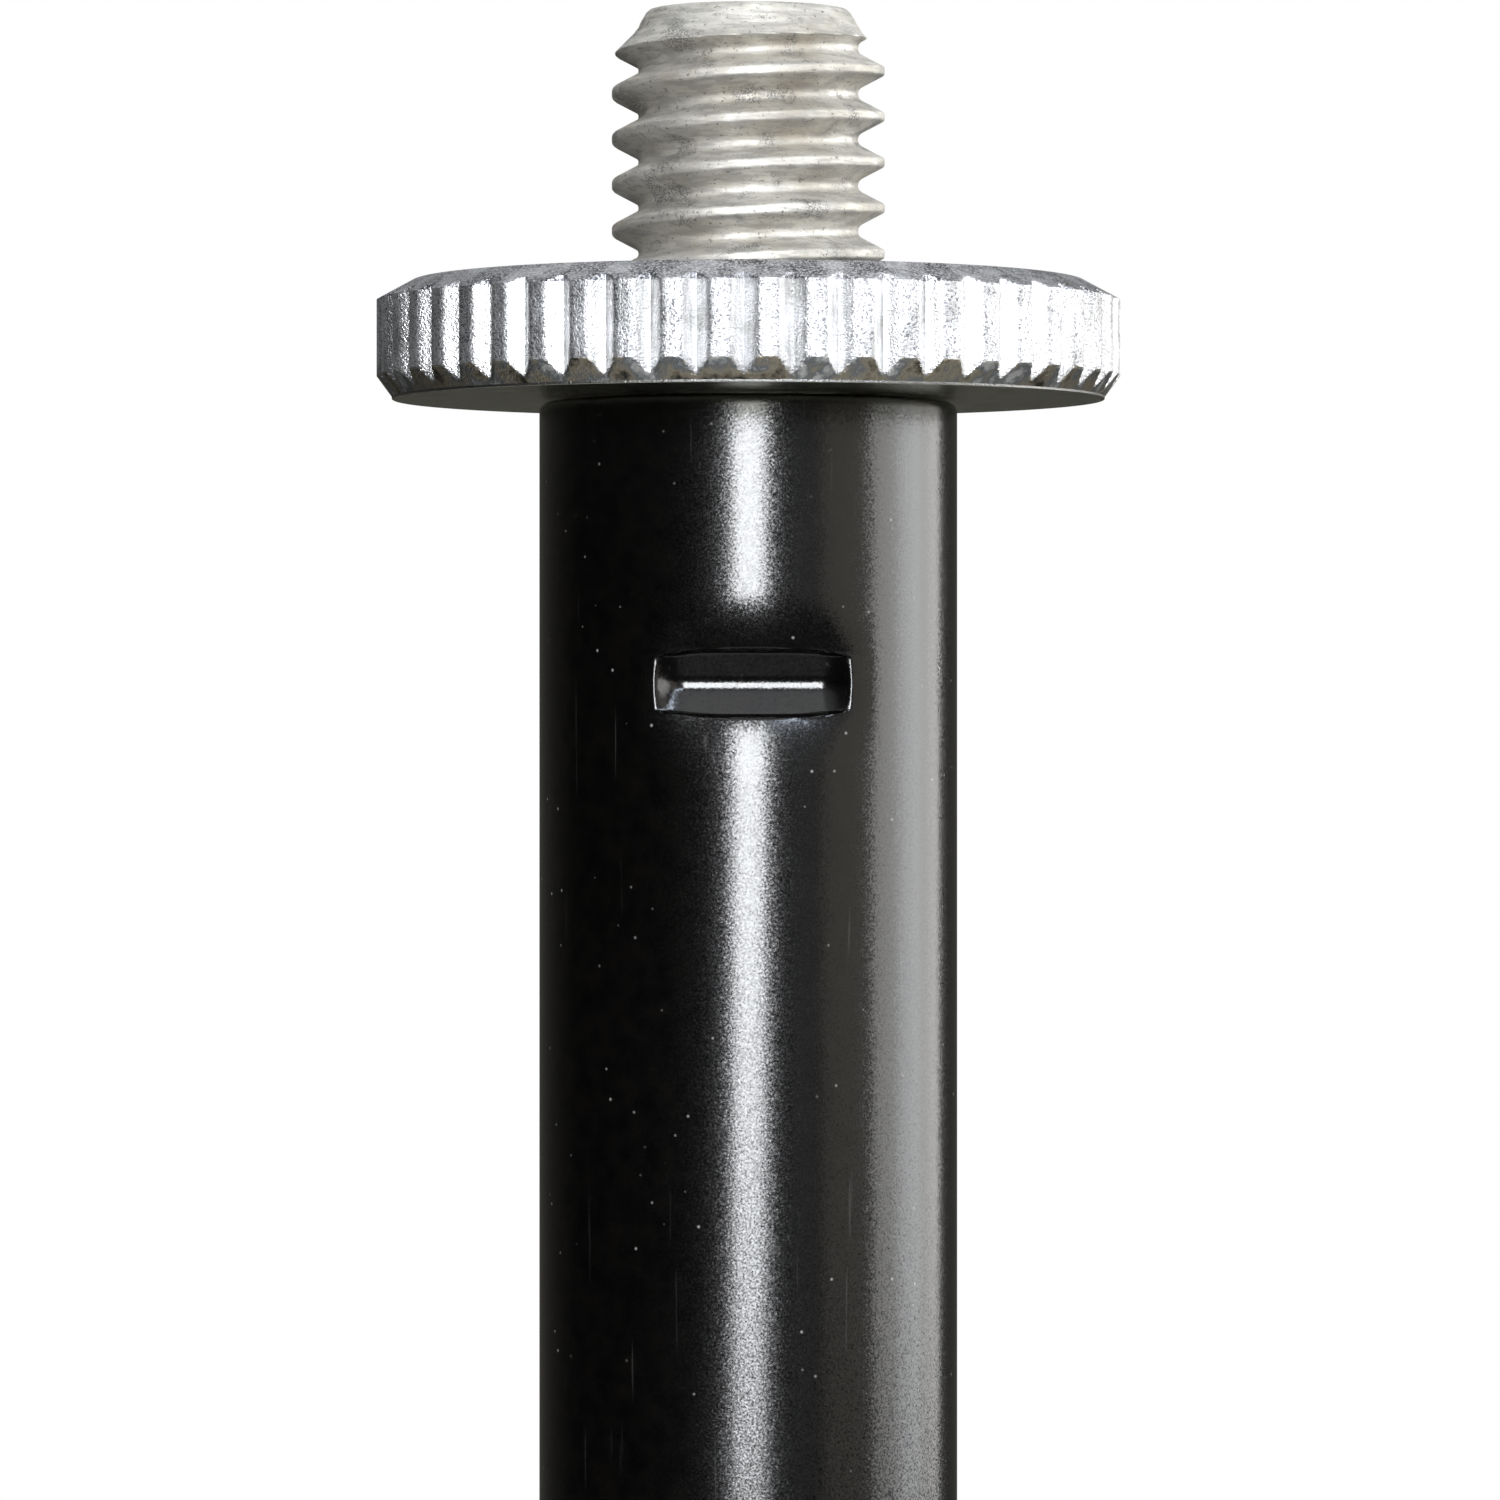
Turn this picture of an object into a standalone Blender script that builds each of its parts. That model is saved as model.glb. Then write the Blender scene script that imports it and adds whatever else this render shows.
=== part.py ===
"""Straight tripod microphone stand with a telescopic column and a 3/8 inch threaded end.

Metres, +Z up. The origin is on the floor, at the middle of the stand's bounding box.
The stand is at its lowest height, legs open. One crimp pocket faces -Y and one leg points to +Y.
"""

import math

import bmesh
import bpy
from mathutils import Matrix, Vector

# Clearances between pieces
SLIP_GAP = 0.0003
SEAT_GAP = 0.0001

# Thread of the stud, 3/8 inch with 16 turns to the inch
THREAD_DIAMETER = 0.009525
THREAD_PITCH = 0.0015875
THREAD_DEPTH = 0.00095
THREAD_CREST_FLAT = 0.00030
THREAD_PHASE_DEG = 64.3
STUD_LENGTH = 0.0136
STUD_END_CHAMFER = 0.0013
SHANK_LENGTH = 0.024
SHANK_GAP = 0.0002
SHANK_END_CHAMFER = 0.0008

# Knurled lock nut
NUT_DIAMETER = 0.0258
NUT_THICKNESS = 0.0041
NUT_TOP_CHAMFER_WIDTH = 0.0012
NUT_TOP_CHAMFER_HEIGHT = 0.00065
NUT_BOTTOM_CHAMFER_WIDTH = 0.0006
NUT_BOTTOM_CHAMFER_HEIGHT = 0.0009
NUT_BORE_GAP = 0.00025
KNURL_COUNT = 50
KNURL_DEPTH = 0.00045
KNURL_CREST_WIDTH = 0.00055
KNURL_PHASE_DEG = -90.5

# Extension tube and its crimps
UPPER_TUBE_DIAMETER = 0.0145
UPPER_TUBE_WALL = 0.0010
UPPER_TUBE_EDGE = 0.0003
UPPER_TUBE_SHOWN = 0.055
CRIMP_BELOW_END = 0.0099
CRIMP_MOUTH_WIDTH = 0.0069
CRIMP_FLOOR_WIDTH = 0.0050
CRIMP_MOUTH_HEIGHT = 0.0024
CRIMP_BEND_HEIGHT = 0.0021
CRIMP_BEND_DEPTH = 0.00105
CRIMP_DEPTH = 0.00145
CRIMP_WALL = 0.0007
CRIMP_COUNT = 2
CRIMP_AZIMUTH_DEG = -88.6

# Guide bush in the lower end of the extension tube
BUSH_COLLAR_LENGTH = 0.014
BUSH_SPIGOT_LENGTH = 0.020
BUSH_END_CHAMFER = 0.0010
BUSH_BORE_RADIUS = 0.0035

# Column tube and the plug in its lower end
LOWER_TUBE_DIAMETER = 0.020
LOWER_TUBE_WALL = 0.0015
LOWER_TUBE_LENGTH = 0.725
PLUG_LENGTH = 0.030
PLUG_CHAMFER = 0.0010

# Clutch on top of the column, heights measured from the column tube's upper end
CLUTCH_SKIRT_RADIUS = 0.0134
CLUTCH_SKIRT_LENGTH = 0.038
CLUTCH_FLANGE_RADIUS = 0.0168
CLUTCH_FLANGE_HEIGHT = 0.0042
CLUTCH_FLANGE_BELOW = 0.012
CLUTCH_NOSE_RADIUS = 0.0126
CLUTCH_NOSE_TOP = 0.0240
CLUTCH_SHOULDER = 0.0040
CLUTCH_THROAT_GAP = 0.0005
COLLET_SEAT_SMALL_RADIUS = 0.0088
COLLET_SEAT_LARGE_RADIUS = 0.0112
COLLET_FLANGE_HEIGHT = 0.0018
COLLET_SLIT = 0.0012
SLEEVE_RADIUS = 0.0178
SLEEVE_TOP_RADIUS = 0.0138
SLEEVE_TOP = 0.0335
SLEEVE_TOP_WALL = 0.0060
SLEEVE_TAPER_HEIGHT = 0.0085
SLEEVE_RIM = 0.0030
FLUTE_COUNT = 12
FLUTE_DEPTH = 0.0011
GUIDE_RING_RADIUS = 0.0102
GUIDE_RING_HEIGHT = 0.0036
GUIDE_RING_PROUD = 0.0008

# Die-cast hub
HUB_RADIUS = 0.017
HUB_TOP_RADIUS = 0.0135
HUB_HEIGHT = 0.058
HUB_TAPER_HEIGHT = 0.014
HUB_EDGE = 0.0015
SOCKET_FLOOR = 0.020
BOLT_RECESS_TOP = 0.012
CAP_RADIUS = 0.0130
CAP_THICKNESS = 0.0030
CAP_EDGE = 0.0006
CAP_SPIGOT_RADIUS = 0.0088
CAP_SPIGOT_HEIGHT = 0.0008

# Bolt and washer that pull the column into the hub
BOLT_RADIUS = 0.0040
BOLT_LENGTH = 0.026
BOLT_HEAD_ACROSS_FLATS = 0.013
BOLT_HEAD_HEIGHT = 0.0050
WASHER_RADIUS = 0.0085
WASHER_THICKNESS = 0.0016

# Forks and legs
LEG_COUNT = 3
FIRST_LEG_DEG = 90.0
LEG_SLOPE_DEG = 14.0
PIVOT_RADIUS = 0.034
PIVOT_HEIGHT = 0.030
EAR_RADIUS = 0.0125
EAR_THICKNESS = 0.0050
FORK_TOP = 0.051
FORK_BOTTOM = 0.006
FORK_EDGE = 0.0012
ROOT_WIDTH = 0.0134
ROOT_RADIUS = 0.0080
ROOT_LENGTH = 0.0215
ROOT_EDGE = 0.0008
SPIGOT_LENGTH = 0.026
SPIGOT_CHAMFER = 0.0010
PIN_RADIUS = 0.0030
PIN_HEAD_RADIUS = 0.0048
PIN_HEAD_HEIGHT = 0.0018
LEG_TUBE_DIAMETER = 0.016
LEG_TUBE_WALL = 0.0012
LEG_TUBE_LENGTH = 0.285

# Rubber feet
FOOT_RADIUS = 0.0120
FOOT_MOUTH_RADIUS = 0.0102
FOOT_GRIP = 0.036
FOOT_END_WALL = 0.014
FOOT_ROUNDING = 0.0045
FOOT_RIB_COUNT = 3
FOOT_RIB_SPACING = 0.0055
FOOT_RIB_WIDTH = 0.0030
FOOT_GROOVE_DEPTH = 0.0009
SOLE_CUT = 0.0022

# Facets
SIDES = 36
INNER_SIDES = 24
PIN_SIDES = 16
LEG_SIDES = 24
THREAD_SIDES = 24
CUTTER_OVERRUN = 0.004

# Places along the column that follow from the sizes above
LOWER_TUBE_BASE = SOCKET_FLOOR + SLIP_GAP
LOWER_TUBE_TOP = LOWER_TUBE_BASE + LOWER_TUBE_LENGTH
CLUTCH_TOP = LOWER_TUBE_TOP + SLEEVE_TOP + GUIDE_RING_PROUD
UPPER_TUBE_TOP = CLUTCH_TOP + UPPER_TUBE_SHOWN
BUSH_BASE = LOWER_TUBE_BASE + PLUG_LENGTH + SLIP_GAP
UPPER_TUBE_LENGTH = UPPER_TUBE_TOP - (BUSH_BASE + BUSH_COLLAR_LENGTH + SLIP_GAP)
UPPER_RADIUS = UPPER_TUBE_DIAMETER / 2
UPPER_BORE = UPPER_RADIUS - UPPER_TUBE_WALL
LOWER_RADIUS = LOWER_TUBE_DIAMETER / 2
LOWER_BORE = LOWER_RADIUS - LOWER_TUBE_WALL
SHANK_RADIUS = UPPER_BORE - SHANK_GAP
LEG_BORE = LEG_TUBE_DIAMETER / 2 - LEG_TUBE_WALL
CHANNEL_WIDTH = ROOT_WIDTH + 2 * SLIP_GAP
FORK_WIDTH = CHANNEL_WIDTH + 2 * EAR_THICKNESS
CHANNEL_RADIUS = ROOT_RADIUS + SLIP_GAP
LEG_SLOPE = math.radians(LEG_SLOPE_DEG)
LEG_TUBE_START = ROOT_LENGTH + SLIP_GAP
LEG_TUBE_END = LEG_TUBE_START + LEG_TUBE_LENGTH
FOOT_END = LEG_TUBE_END + SLIP_GAP + FOOT_END_WALL


# Finishes: colour, roughness and metallic value
TUBE_PAINT = ((0.006, 0.006, 0.006), 0.28, 0.0)
CASTING_PAINT = ((0.008, 0.008, 0.008), 0.36, 0.0)
STUD_ZINC = ((0.66, 0.665, 0.66), 0.50, 1.0)
NUT_ZINC = ((0.78, 0.78, 0.78), 0.38, 1.0)
PLAIN_STEEL = ((0.42, 0.42, 0.43), 0.35, 1.0)
BLACK_NYLON = ((0.018, 0.018, 0.019), 0.5, 0.0)
NATURAL_NYLON = ((0.72, 0.70, 0.64), 0.45, 0.0)
BLACK_RUBBER = ((0.014, 0.014, 0.014), 0.72, 0.0)


# Making and placing objects


def make_material(name, finish):
    color, roughness, metallic = finish
    made = bpy.data.materials.new(f"{name}_finish")
    made.use_nodes = True
    shader = made.node_tree.nodes["Principled BSDF"]
    shader.inputs["Base Color"].default_value = (*color, 1.0)
    shader.inputs["Roughness"].default_value = roughness
    shader.inputs["Metallic"].default_value = metallic
    made.diffuse_color = (*color, 1.0)
    return made


def add_object(name, mesh, finish=None, parent=None):
    """An object at its parent's origin, with a material of its own if it has a finish."""
    made = bpy.data.objects.new(name, mesh)
    bpy.context.scene.collection.objects.link(made)
    if finish:
        mesh.materials.append(make_material(name, finish))
    mesh.shade_smooth()
    mesh.set_sharp_from_angle(angle=math.radians(30))
    made.parent = parent
    return made


def add_empty(name, location, rotation=(0.0, 0.0, 0.0), parent=None):
    made = bpy.data.objects.new(name, None)
    made.empty_display_size = 0.02
    bpy.context.scene.collection.objects.link(made)
    made.location = location
    made.rotation_euler = rotation
    made.parent = parent
    return made


def hide_helper(helper):
    """Marks a cutter or a joined-in shape as a helper that isn't a piece."""
    helper.hide_render = True
    helper.display_type = "WIRE"
    return helper


def add_boolean(target, helper, operation):
    modifier = target.modifiers.new(f"{operation.lower()}_{helper.name}", "BOOLEAN")
    modifier.operation = operation
    modifier.solver = "EXACT"
    modifier.object = helper


def add_bevel(target, width):
    modifier = target.modifiers.new("edge_bevel", "BEVEL")
    modifier.width = width
    modifier.segments = 1
    modifier.limit_method = "ANGLE"
    modifier.angle_limit = math.radians(40)


# Mesh builders


def mesh_from(bm, name):
    bmesh.ops.recalc_face_normals(bm, faces=bm.faces)
    mesh = bpy.data.meshes.new(name)
    bm.to_mesh(mesh)
    bm.free()
    return mesh


def turned_mesh(name, profile, sides=SIDES, closed=False):
    """Revolves (radius, height) points about Z. A closed profile makes a bored ring."""
    bm = bmesh.new()
    verts = [bm.verts.new((radius, 0.0, height)) for radius, height in profile]
    ends = verts[1:] + verts[:1] if closed else verts[1:]
    edges = [bm.edges.new(pair) for pair in zip(verts, ends)]
    bmesh.ops.spin(
        bm,
        geom=verts + edges,
        cent=(0.0, 0.0, 0.0),
        axis=(0.0, 0.0, 1.0),
        angle=2 * math.pi,
        steps=sides,
        use_merge=True,
    )
    bmesh.ops.remove_doubles(bm, verts=bm.verts, dist=1e-7)
    return mesh_from(bm, name)


def outline_mesh(name, outline, width):
    """Extrudes a closed (x, z) outline across Y, half of the width to each side."""
    bm = bmesh.new()
    verts = [bm.verts.new((x, -width / 2, z)) for x, z in outline]
    face = bm.faces.new(verts)
    moved = bmesh.ops.extrude_face_region(bm, geom=[face])["geom"]
    moved_verts = [item for item in moved if isinstance(item, bmesh.types.BMVert)]
    bmesh.ops.translate(bm, verts=moved_verts, vec=(0.0, width, 0.0))
    return mesh_from(bm, name)


def ring_stack_mesh(name, rings):
    """Joins rings of equally many points into a solid with a flat face at each end."""
    bm = bmesh.new()
    rows = [[bm.verts.new(point) for point in ring] for ring in rings]
    count = len(rows[0])
    for row, above in zip(rows, rows[1:]):
        for i in range(count):
            j = (i + 1) % count
            bm.faces.new((row[i], row[j], above[j], above[i]))
    bm.faces.new(rows[0])
    bm.faces.new(rows[-1])
    return mesh_from(bm, name)


def ring_points(columns, radius, height, share=1.0):
    """A ring at one height, as deep at each (angle, depth) column as its share of the depth."""
    points = []
    for angle, depth in columns:
        r = radius - share * depth
        points.append((r * math.cos(angle), r * math.sin(angle), height))
    return points


def arc(center_x, center_z, radius, start_deg, end_deg, steps):
    """Points along an arc, both ends included."""
    points = []
    for i in range(steps + 1):
        angle = math.radians(start_deg + (end_deg - start_deg) * i / steps)
        points.append((center_x + radius * math.cos(angle), center_z + radius * math.sin(angle)))
    return points


def tangent_angle_deg(point, center, radius, side):
    """Angle on a circle where the line from an outside point touches it."""
    dx = point[0] - center[0]
    dz = point[1] - center[1]
    reach = math.hypot(dx, dz)
    return math.degrees(math.atan2(dz, dx) + side * math.acos(radius / reach))


def align_to_leg(mesh):
    """Turns a mesh made along Z so that it lies along +X, as the legs do."""
    mesh.transform(Matrix.Rotation(math.radians(90), 4, "Y"))
    return mesh


# Threaded stud


def helix_rod_mesh(name, low, high):
    """A rod whose surface is the thread, chamfered at its upper end, between two level cuts."""
    flank = (THREAD_PITCH - THREAD_CREST_FLAT) / 2
    crest_radius = THREAD_DIAMETER / 2
    root_radius = crest_radius - THREAD_DEPTH
    end_radius = crest_radius - STUD_END_CHAMFER
    shape = [(0.0, crest_radius), (THREAD_CREST_FLAT, crest_radius), (THREAD_CREST_FLAT + flank, root_radius)]
    start = low - THREAD_PITCH
    turns = math.ceil((high - start) / THREAD_PITCH) + 3
    phase = math.radians(THREAD_PHASE_DEG)
    bm = bmesh.new()
    rows = []
    for turn in range(turns):
        for rise, radius in shape:
            row = []
            for i in range(THREAD_SIDES):
                share = i / THREAD_SIDES
                angle = phase + 2 * math.pi * share
                height = start + (turn - 1 + share) * THREAD_PITCH + rise
                chamfered = max(end_radius + high - height, end_radius / 2)
                r = min(radius, chamfered)
                row.append(bm.verts.new((r * math.cos(angle), r * math.sin(angle), height)))
            rows.append(row)
    per_turn = len(shape)
    for lower, upper in zip(rows, rows[1:]):
        for j in range(THREAD_SIDES - 1):
            bm.faces.new((lower[j], lower[j + 1], upper[j + 1], upper[j]))
    for i in range(len(rows) - per_turn - 1):
        bm.faces.new((rows[i][-1], rows[i + per_turn][0], rows[i + per_turn + 1][0], rows[i + 1][-1]))
    cut_level(bm, low, -1)
    cut_level(bm, high, 1)
    return mesh_from(bm, name)


def cut_level(bm, height, side):
    """Removes what lies above (side 1) or below (side -1) a height, and closes the cut."""
    cut = bmesh.ops.bisect_plane(
        bm,
        geom=bm.verts[:] + bm.edges[:] + bm.faces[:],
        plane_co=(0.0, 0.0, height),
        plane_no=(0.0, 0.0, side),
        clear_outer=True,
    )
    rim = [item for item in cut["geom_cut"] if isinstance(item, bmesh.types.BMEdge)]
    bmesh.ops.edgeloop_fill(bm, edges=rim)


def crimp_groove_profile():
    """The groove round the shank that the crimps press into, as (radius, height) points."""
    floor_radius = UPPER_RADIUS - CRIMP_DEPTH - CRIMP_WALL - SLIP_GAP
    half_mouth = CRIMP_MOUTH_HEIGHT / 2 + CRIMP_WALL + SLIP_GAP
    half_floor = CRIMP_BEND_HEIGHT / 2
    return [
        (SHANK_RADIUS, -CRIMP_BELOW_END - half_mouth),
        (floor_radius, -CRIMP_BELOW_END - half_floor),
        (floor_radius, -CRIMP_BELOW_END + half_floor),
        (SHANK_RADIUS, -CRIMP_BELOW_END + half_mouth),
    ]


def build_stud(finish, parent):
    """The shank sits in the tube, and the thread stands out of it."""
    shank = [
        (0.0, -SHANK_LENGTH),
        (SHANK_RADIUS - SHANK_END_CHAMFER, -SHANK_LENGTH),
        (SHANK_RADIUS, -SHANK_LENGTH + SHANK_END_CHAMFER),
        *crimp_groove_profile(),
        (SHANK_RADIUS, 0.0),
        (0.0, 0.0),
    ]
    stud = add_object("threaded_stud", turned_mesh("threaded_stud", shank, THREAD_SIDES), finish, parent)
    thread = add_object("thread", helix_rod_mesh("thread", -THREAD_DEPTH, STUD_LENGTH), None, parent)
    add_boolean(stud, hide_helper(thread), "UNION")


# Lock nut


def knurl_columns():
    """(angle, depth) round the nut: a pointed groove, then a flat crest."""
    pitch = 2 * math.pi / KNURL_COUNT
    half_crest = KNURL_CREST_WIDTH / NUT_DIAMETER
    columns = []
    for i in range(KNURL_COUNT):
        groove = math.radians(KNURL_PHASE_DEG) + pitch * i
        columns += [
            (groove, KNURL_DEPTH),
            (groove + pitch / 2 - half_crest, 0.0),
            (groove + pitch / 2 + half_crest, 0.0),
        ]
    return columns


def build_nut(finish, parent):
    """The knurl's grooves run out in the chamfers, so their ends are scalloped."""
    radius = NUT_DIAMETER / 2
    base = SEAT_GAP
    top = base + NUT_THICKNESS
    low_rim = []
    high_rim = []
    for angle, depth in knurl_columns():
        r = radius - depth
        low = base + NUT_BOTTOM_CHAMFER_HEIGHT * (1 - depth / NUT_BOTTOM_CHAMFER_WIDTH)
        high = top - NUT_TOP_CHAMFER_HEIGHT * (1 - depth / NUT_TOP_CHAMFER_WIDTH)
        low_rim.append((r * math.cos(angle), r * math.sin(angle), low))
        high_rim.append((r * math.cos(angle), r * math.sin(angle), high))
    rings = [
        ring_points(knurl_columns(), radius - NUT_BOTTOM_CHAMFER_WIDTH, base, 0.0),
        low_rim,
        high_rim,
        ring_points(knurl_columns(), radius - NUT_TOP_CHAMFER_WIDTH, top, 0.0),
    ]
    nut = add_object("lock_nut", ring_stack_mesh("lock_nut", rings), finish, parent)
    bore_radius = THREAD_DIAMETER / 2 + NUT_BORE_GAP
    bore = [
        (0.0, base - CUTTER_OVERRUN),
        (bore_radius, base - CUTTER_OVERRUN),
        (bore_radius, top + CUTTER_OVERRUN),
        (0.0, top + CUTTER_OVERRUN),
    ]
    cutter = add_object("nut_bore", turned_mesh("nut_bore", bore), None, parent)
    add_boolean(nut, hide_helper(cutter), "DIFFERENCE")


# Extension tube


def crimp_outline(grow):
    """Section of the punch through the tube's axis, as (depth, height) points, grown by a wall."""
    half_mouth = CRIMP_MOUTH_HEIGHT / 2 + grow
    half_bend = CRIMP_BEND_HEIGHT / 2 + grow
    tip = CRIMP_DEPTH + grow
    return [
        (0.0, -half_mouth),
        (CRIMP_BEND_DEPTH, -half_bend),
        (tip, -grow / 2),
        (tip, grow / 2),
        (CRIMP_BEND_DEPTH, half_bend),
        (0.0, half_mouth),
    ]


def crimp_solid_mesh(name, grow, overrun):
    """A punch with sloping ends, pointing to -X from the tube's surface at its crimp."""
    bm = bmesh.new()
    half_mouth = CRIMP_MOUTH_WIDTH / 2 + grow
    half_floor = CRIMP_FLOOR_WIDTH / 2 + grow
    section = crimp_outline(grow)
    if grow == 0.0:
        section = [point for i, point in enumerate(section) if i != 3]
    ends = []
    for side in (-1, 1):
        verts = []
        for depth, height in [(-overrun, section[0][1]), *section, (-overrun, section[-1][1])]:
            share = max(depth, 0.0) / (CRIMP_DEPTH + grow)
            half = half_mouth + (half_floor - half_mouth) * share
            verts.append(bm.verts.new((UPPER_RADIUS - depth, side * half, height)))
        ends.append(verts)
    first, second = ends
    bm.faces.new(first)
    bm.faces.new(list(reversed(second)))
    count = len(first)
    for i in range(count):
        j = (i + 1) % count
        bm.faces.new((first[i], second[i], second[j], first[j]))
    return mesh_from(bm, name)


def build_upper_tube(finish, parent):
    """The crimps bulge into the bore, so a thick punch is joined before the pocket is cut."""
    edge = UPPER_TUBE_EDGE
    profile = [
        (UPPER_BORE, -UPPER_TUBE_LENGTH),
        (UPPER_RADIUS, -UPPER_TUBE_LENGTH),
        (UPPER_RADIUS, -edge),
        (UPPER_RADIUS - edge, 0.0),
        (UPPER_BORE, 0.0),
    ]
    tube = add_object("upper_tube", turned_mesh("upper_tube", profile, SIDES, closed=True), finish, parent)
    middle = (UPPER_RADIUS + UPPER_BORE) / 2
    reach = CRIMP_MOUTH_HEIGHT + CRIMP_WALL * 2
    core = [
        (0.0, -CRIMP_BELOW_END - reach),
        (middle, -CRIMP_BELOW_END - reach),
        (middle, -CRIMP_BELOW_END + reach),
        (0.0, -CRIMP_BELOW_END + reach),
    ]
    inside = add_object("crimp_inside", turned_mesh("crimp_inside", core, SIDES), None, parent)
    hide_helper(inside)
    for i in range(CRIMP_COUNT):
        turn = math.radians(CRIMP_AZIMUTH_DEG + 360 * i / CRIMP_COUNT)
        boss = add_object(f"crimp_boss_{i + 1}", crimp_solid_mesh("crimp_boss", CRIMP_WALL, 0.0), None, parent)
        punch = add_object(
            f"crimp_punch_{i + 1}", crimp_solid_mesh("crimp_punch", 0.0, CUTTER_OVERRUN), None, parent
        )
        for helper in (boss, punch):
            helper.location = (0.0, 0.0, -CRIMP_BELOW_END)
            helper.rotation_euler = (0.0, 0.0, turn)
            hide_helper(helper)
        add_boolean(boss, inside, "INTERSECT")
        add_boolean(tube, boss, "UNION")
        add_boolean(tube, punch, "DIFFERENCE")


def build_guide_bush(finish, parent):
    """A spigot in the extension tube's lower end and a collar that runs in the column tube."""
    end = -UPPER_TUBE_LENGTH - SLIP_GAP
    collar = LOWER_BORE - SLIP_GAP
    spigot = UPPER_BORE - SLIP_GAP
    profile = [
        (BUSH_BORE_RADIUS, end - BUSH_COLLAR_LENGTH),
        (collar - BUSH_END_CHAMFER, end - BUSH_COLLAR_LENGTH),
        (collar, end - BUSH_COLLAR_LENGTH + BUSH_END_CHAMFER),
        (collar, end),
        (spigot, end),
        (spigot, end + BUSH_SPIGOT_LENGTH - BUSH_END_CHAMFER),
        (spigot - BUSH_END_CHAMFER, end + BUSH_SPIGOT_LENGTH),
        (BUSH_BORE_RADIUS, end + BUSH_SPIGOT_LENGTH),
    ]
    add_object("guide_bush", turned_mesh("guide_bush", profile, INNER_SIDES, closed=True), finish, parent)


# Column


def build_column(tube_finish, plug_finish, parent):
    tube = [
        (LOWER_BORE, 0.0),
        (LOWER_RADIUS, 0.0),
        (LOWER_RADIUS, LOWER_TUBE_LENGTH),
        (LOWER_BORE, LOWER_TUBE_LENGTH),
    ]
    add_object("lower_tube", turned_mesh("lower_tube", tube, SIDES, closed=True), tube_finish, parent)
    outer = LOWER_BORE - SLIP_GAP
    bore = BOLT_RADIUS + SLIP_GAP
    plug = [
        (bore, 0.0),
        (outer - PLUG_CHAMFER, 0.0),
        (outer, PLUG_CHAMFER),
        (outer, PLUG_LENGTH - PLUG_CHAMFER),
        (outer - PLUG_CHAMFER, PLUG_LENGTH),
        (bore, PLUG_LENGTH),
    ]
    add_object("column_plug", turned_mesh("column_plug", plug, INNER_SIDES, closed=True), plug_finish, parent)


# Clutch


def seat_radius(height):
    """Radius of the collet's conical seat at a height above the column tube."""
    low = CLUTCH_SHOULDER
    share = (height - low) / (CLUTCH_NOSE_TOP - low)
    return COLLET_SEAT_SMALL_RADIUS + (COLLET_SEAT_LARGE_RADIUS - COLLET_SEAT_SMALL_RADIUS) * share


def build_clutch_body(finish, parent):
    socket = LOWER_RADIUS + SLIP_GAP
    throat = UPPER_RADIUS + CLUTCH_THROAT_GAP
    flange_top = -CLUTCH_FLANGE_BELOW
    flange_low = flange_top - CLUTCH_FLANGE_HEIGHT
    skirt_low = -CLUTCH_SKIRT_LENGTH
    edge = CLUTCH_FLANGE_HEIGHT / 4
    step = CLUTCH_FLANGE_RADIUS - CLUTCH_SKIRT_RADIUS
    profile = [
        (socket, skirt_low),
        (CLUTCH_SKIRT_RADIUS - edge, skirt_low),
        (CLUTCH_SKIRT_RADIUS, skirt_low + edge),
        (CLUTCH_SKIRT_RADIUS, flange_low - step),
        (CLUTCH_FLANGE_RADIUS, flange_low),
        (CLUTCH_FLANGE_RADIUS, flange_top - edge),
        (CLUTCH_FLANGE_RADIUS - edge, flange_top),
        (CLUTCH_NOSE_RADIUS, flange_top),
        (CLUTCH_NOSE_RADIUS, CLUTCH_NOSE_TOP),
        (seat_radius(CLUTCH_NOSE_TOP), CLUTCH_NOSE_TOP),
        (seat_radius(CLUTCH_SHOULDER), CLUTCH_SHOULDER),
        (throat, CLUTCH_SHOULDER),
        (throat, SLIP_GAP),
        (socket, SLIP_GAP),
    ]
    add_object("clutch_body", turned_mesh("clutch_body", profile, SIDES, closed=True), finish, parent)


def build_collet(finish, parent):
    """A cone with one slit through it and slits from each end, so that it can close on the tube."""
    low = CLUTCH_SHOULDER + SLIP_GAP
    high = CLUTCH_NOSE_TOP + SLIP_GAP
    bore = UPPER_RADIUS + SLIP_GAP
    profile = [
        (bore, low),
        (seat_radius(low) - SLIP_GAP, low),
        (seat_radius(high) - SLIP_GAP, high),
        (seat_radius(high), high + COLLET_FLANGE_HEIGHT),
        (bore, high + COLLET_FLANGE_HEIGHT),
    ]
    collet = add_object("clutch_collet", turned_mesh("clutch_collet", profile, SIDES, closed=True), finish, parent)
    top = high + COLLET_FLANGE_HEIGHT + CUTTER_OVERRUN
    full = top - low + CUTTER_OVERRUN
    cut_starts = [low - CUTTER_OVERRUN, (low + high) / 2, (low + high) / 2, (low + high) / 2]
    for i, start in enumerate(cut_starts):
        outline = [
            (0.0, start),
            (seat_radius(top), start),
            (seat_radius(top), start + full),
            (0.0, start + full),
        ]
        slit = add_object(f"collet_slit_{i + 1}", outline_mesh("collet_slit", outline, COLLET_SLIT), None, parent)
        slit.rotation_euler = (0.0, 0.0, 2 * math.pi * (i + 0.5) / len(cut_starts))
        add_boolean(collet, hide_helper(slit), "DIFFERENCE")


def flute_columns():
    """(angle, depth) round the sleeve: flat-bottomed flutes with a land between them."""
    pitch = 2 * math.pi / FLUTE_COUNT
    shape = [(-0.3, 0.0), (-0.12, FLUTE_DEPTH), (0.12, FLUTE_DEPTH), (0.3, 0.0)]
    return [(pitch * (i + share), depth) for i in range(FLUTE_COUNT) for share, depth in shape]


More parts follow.
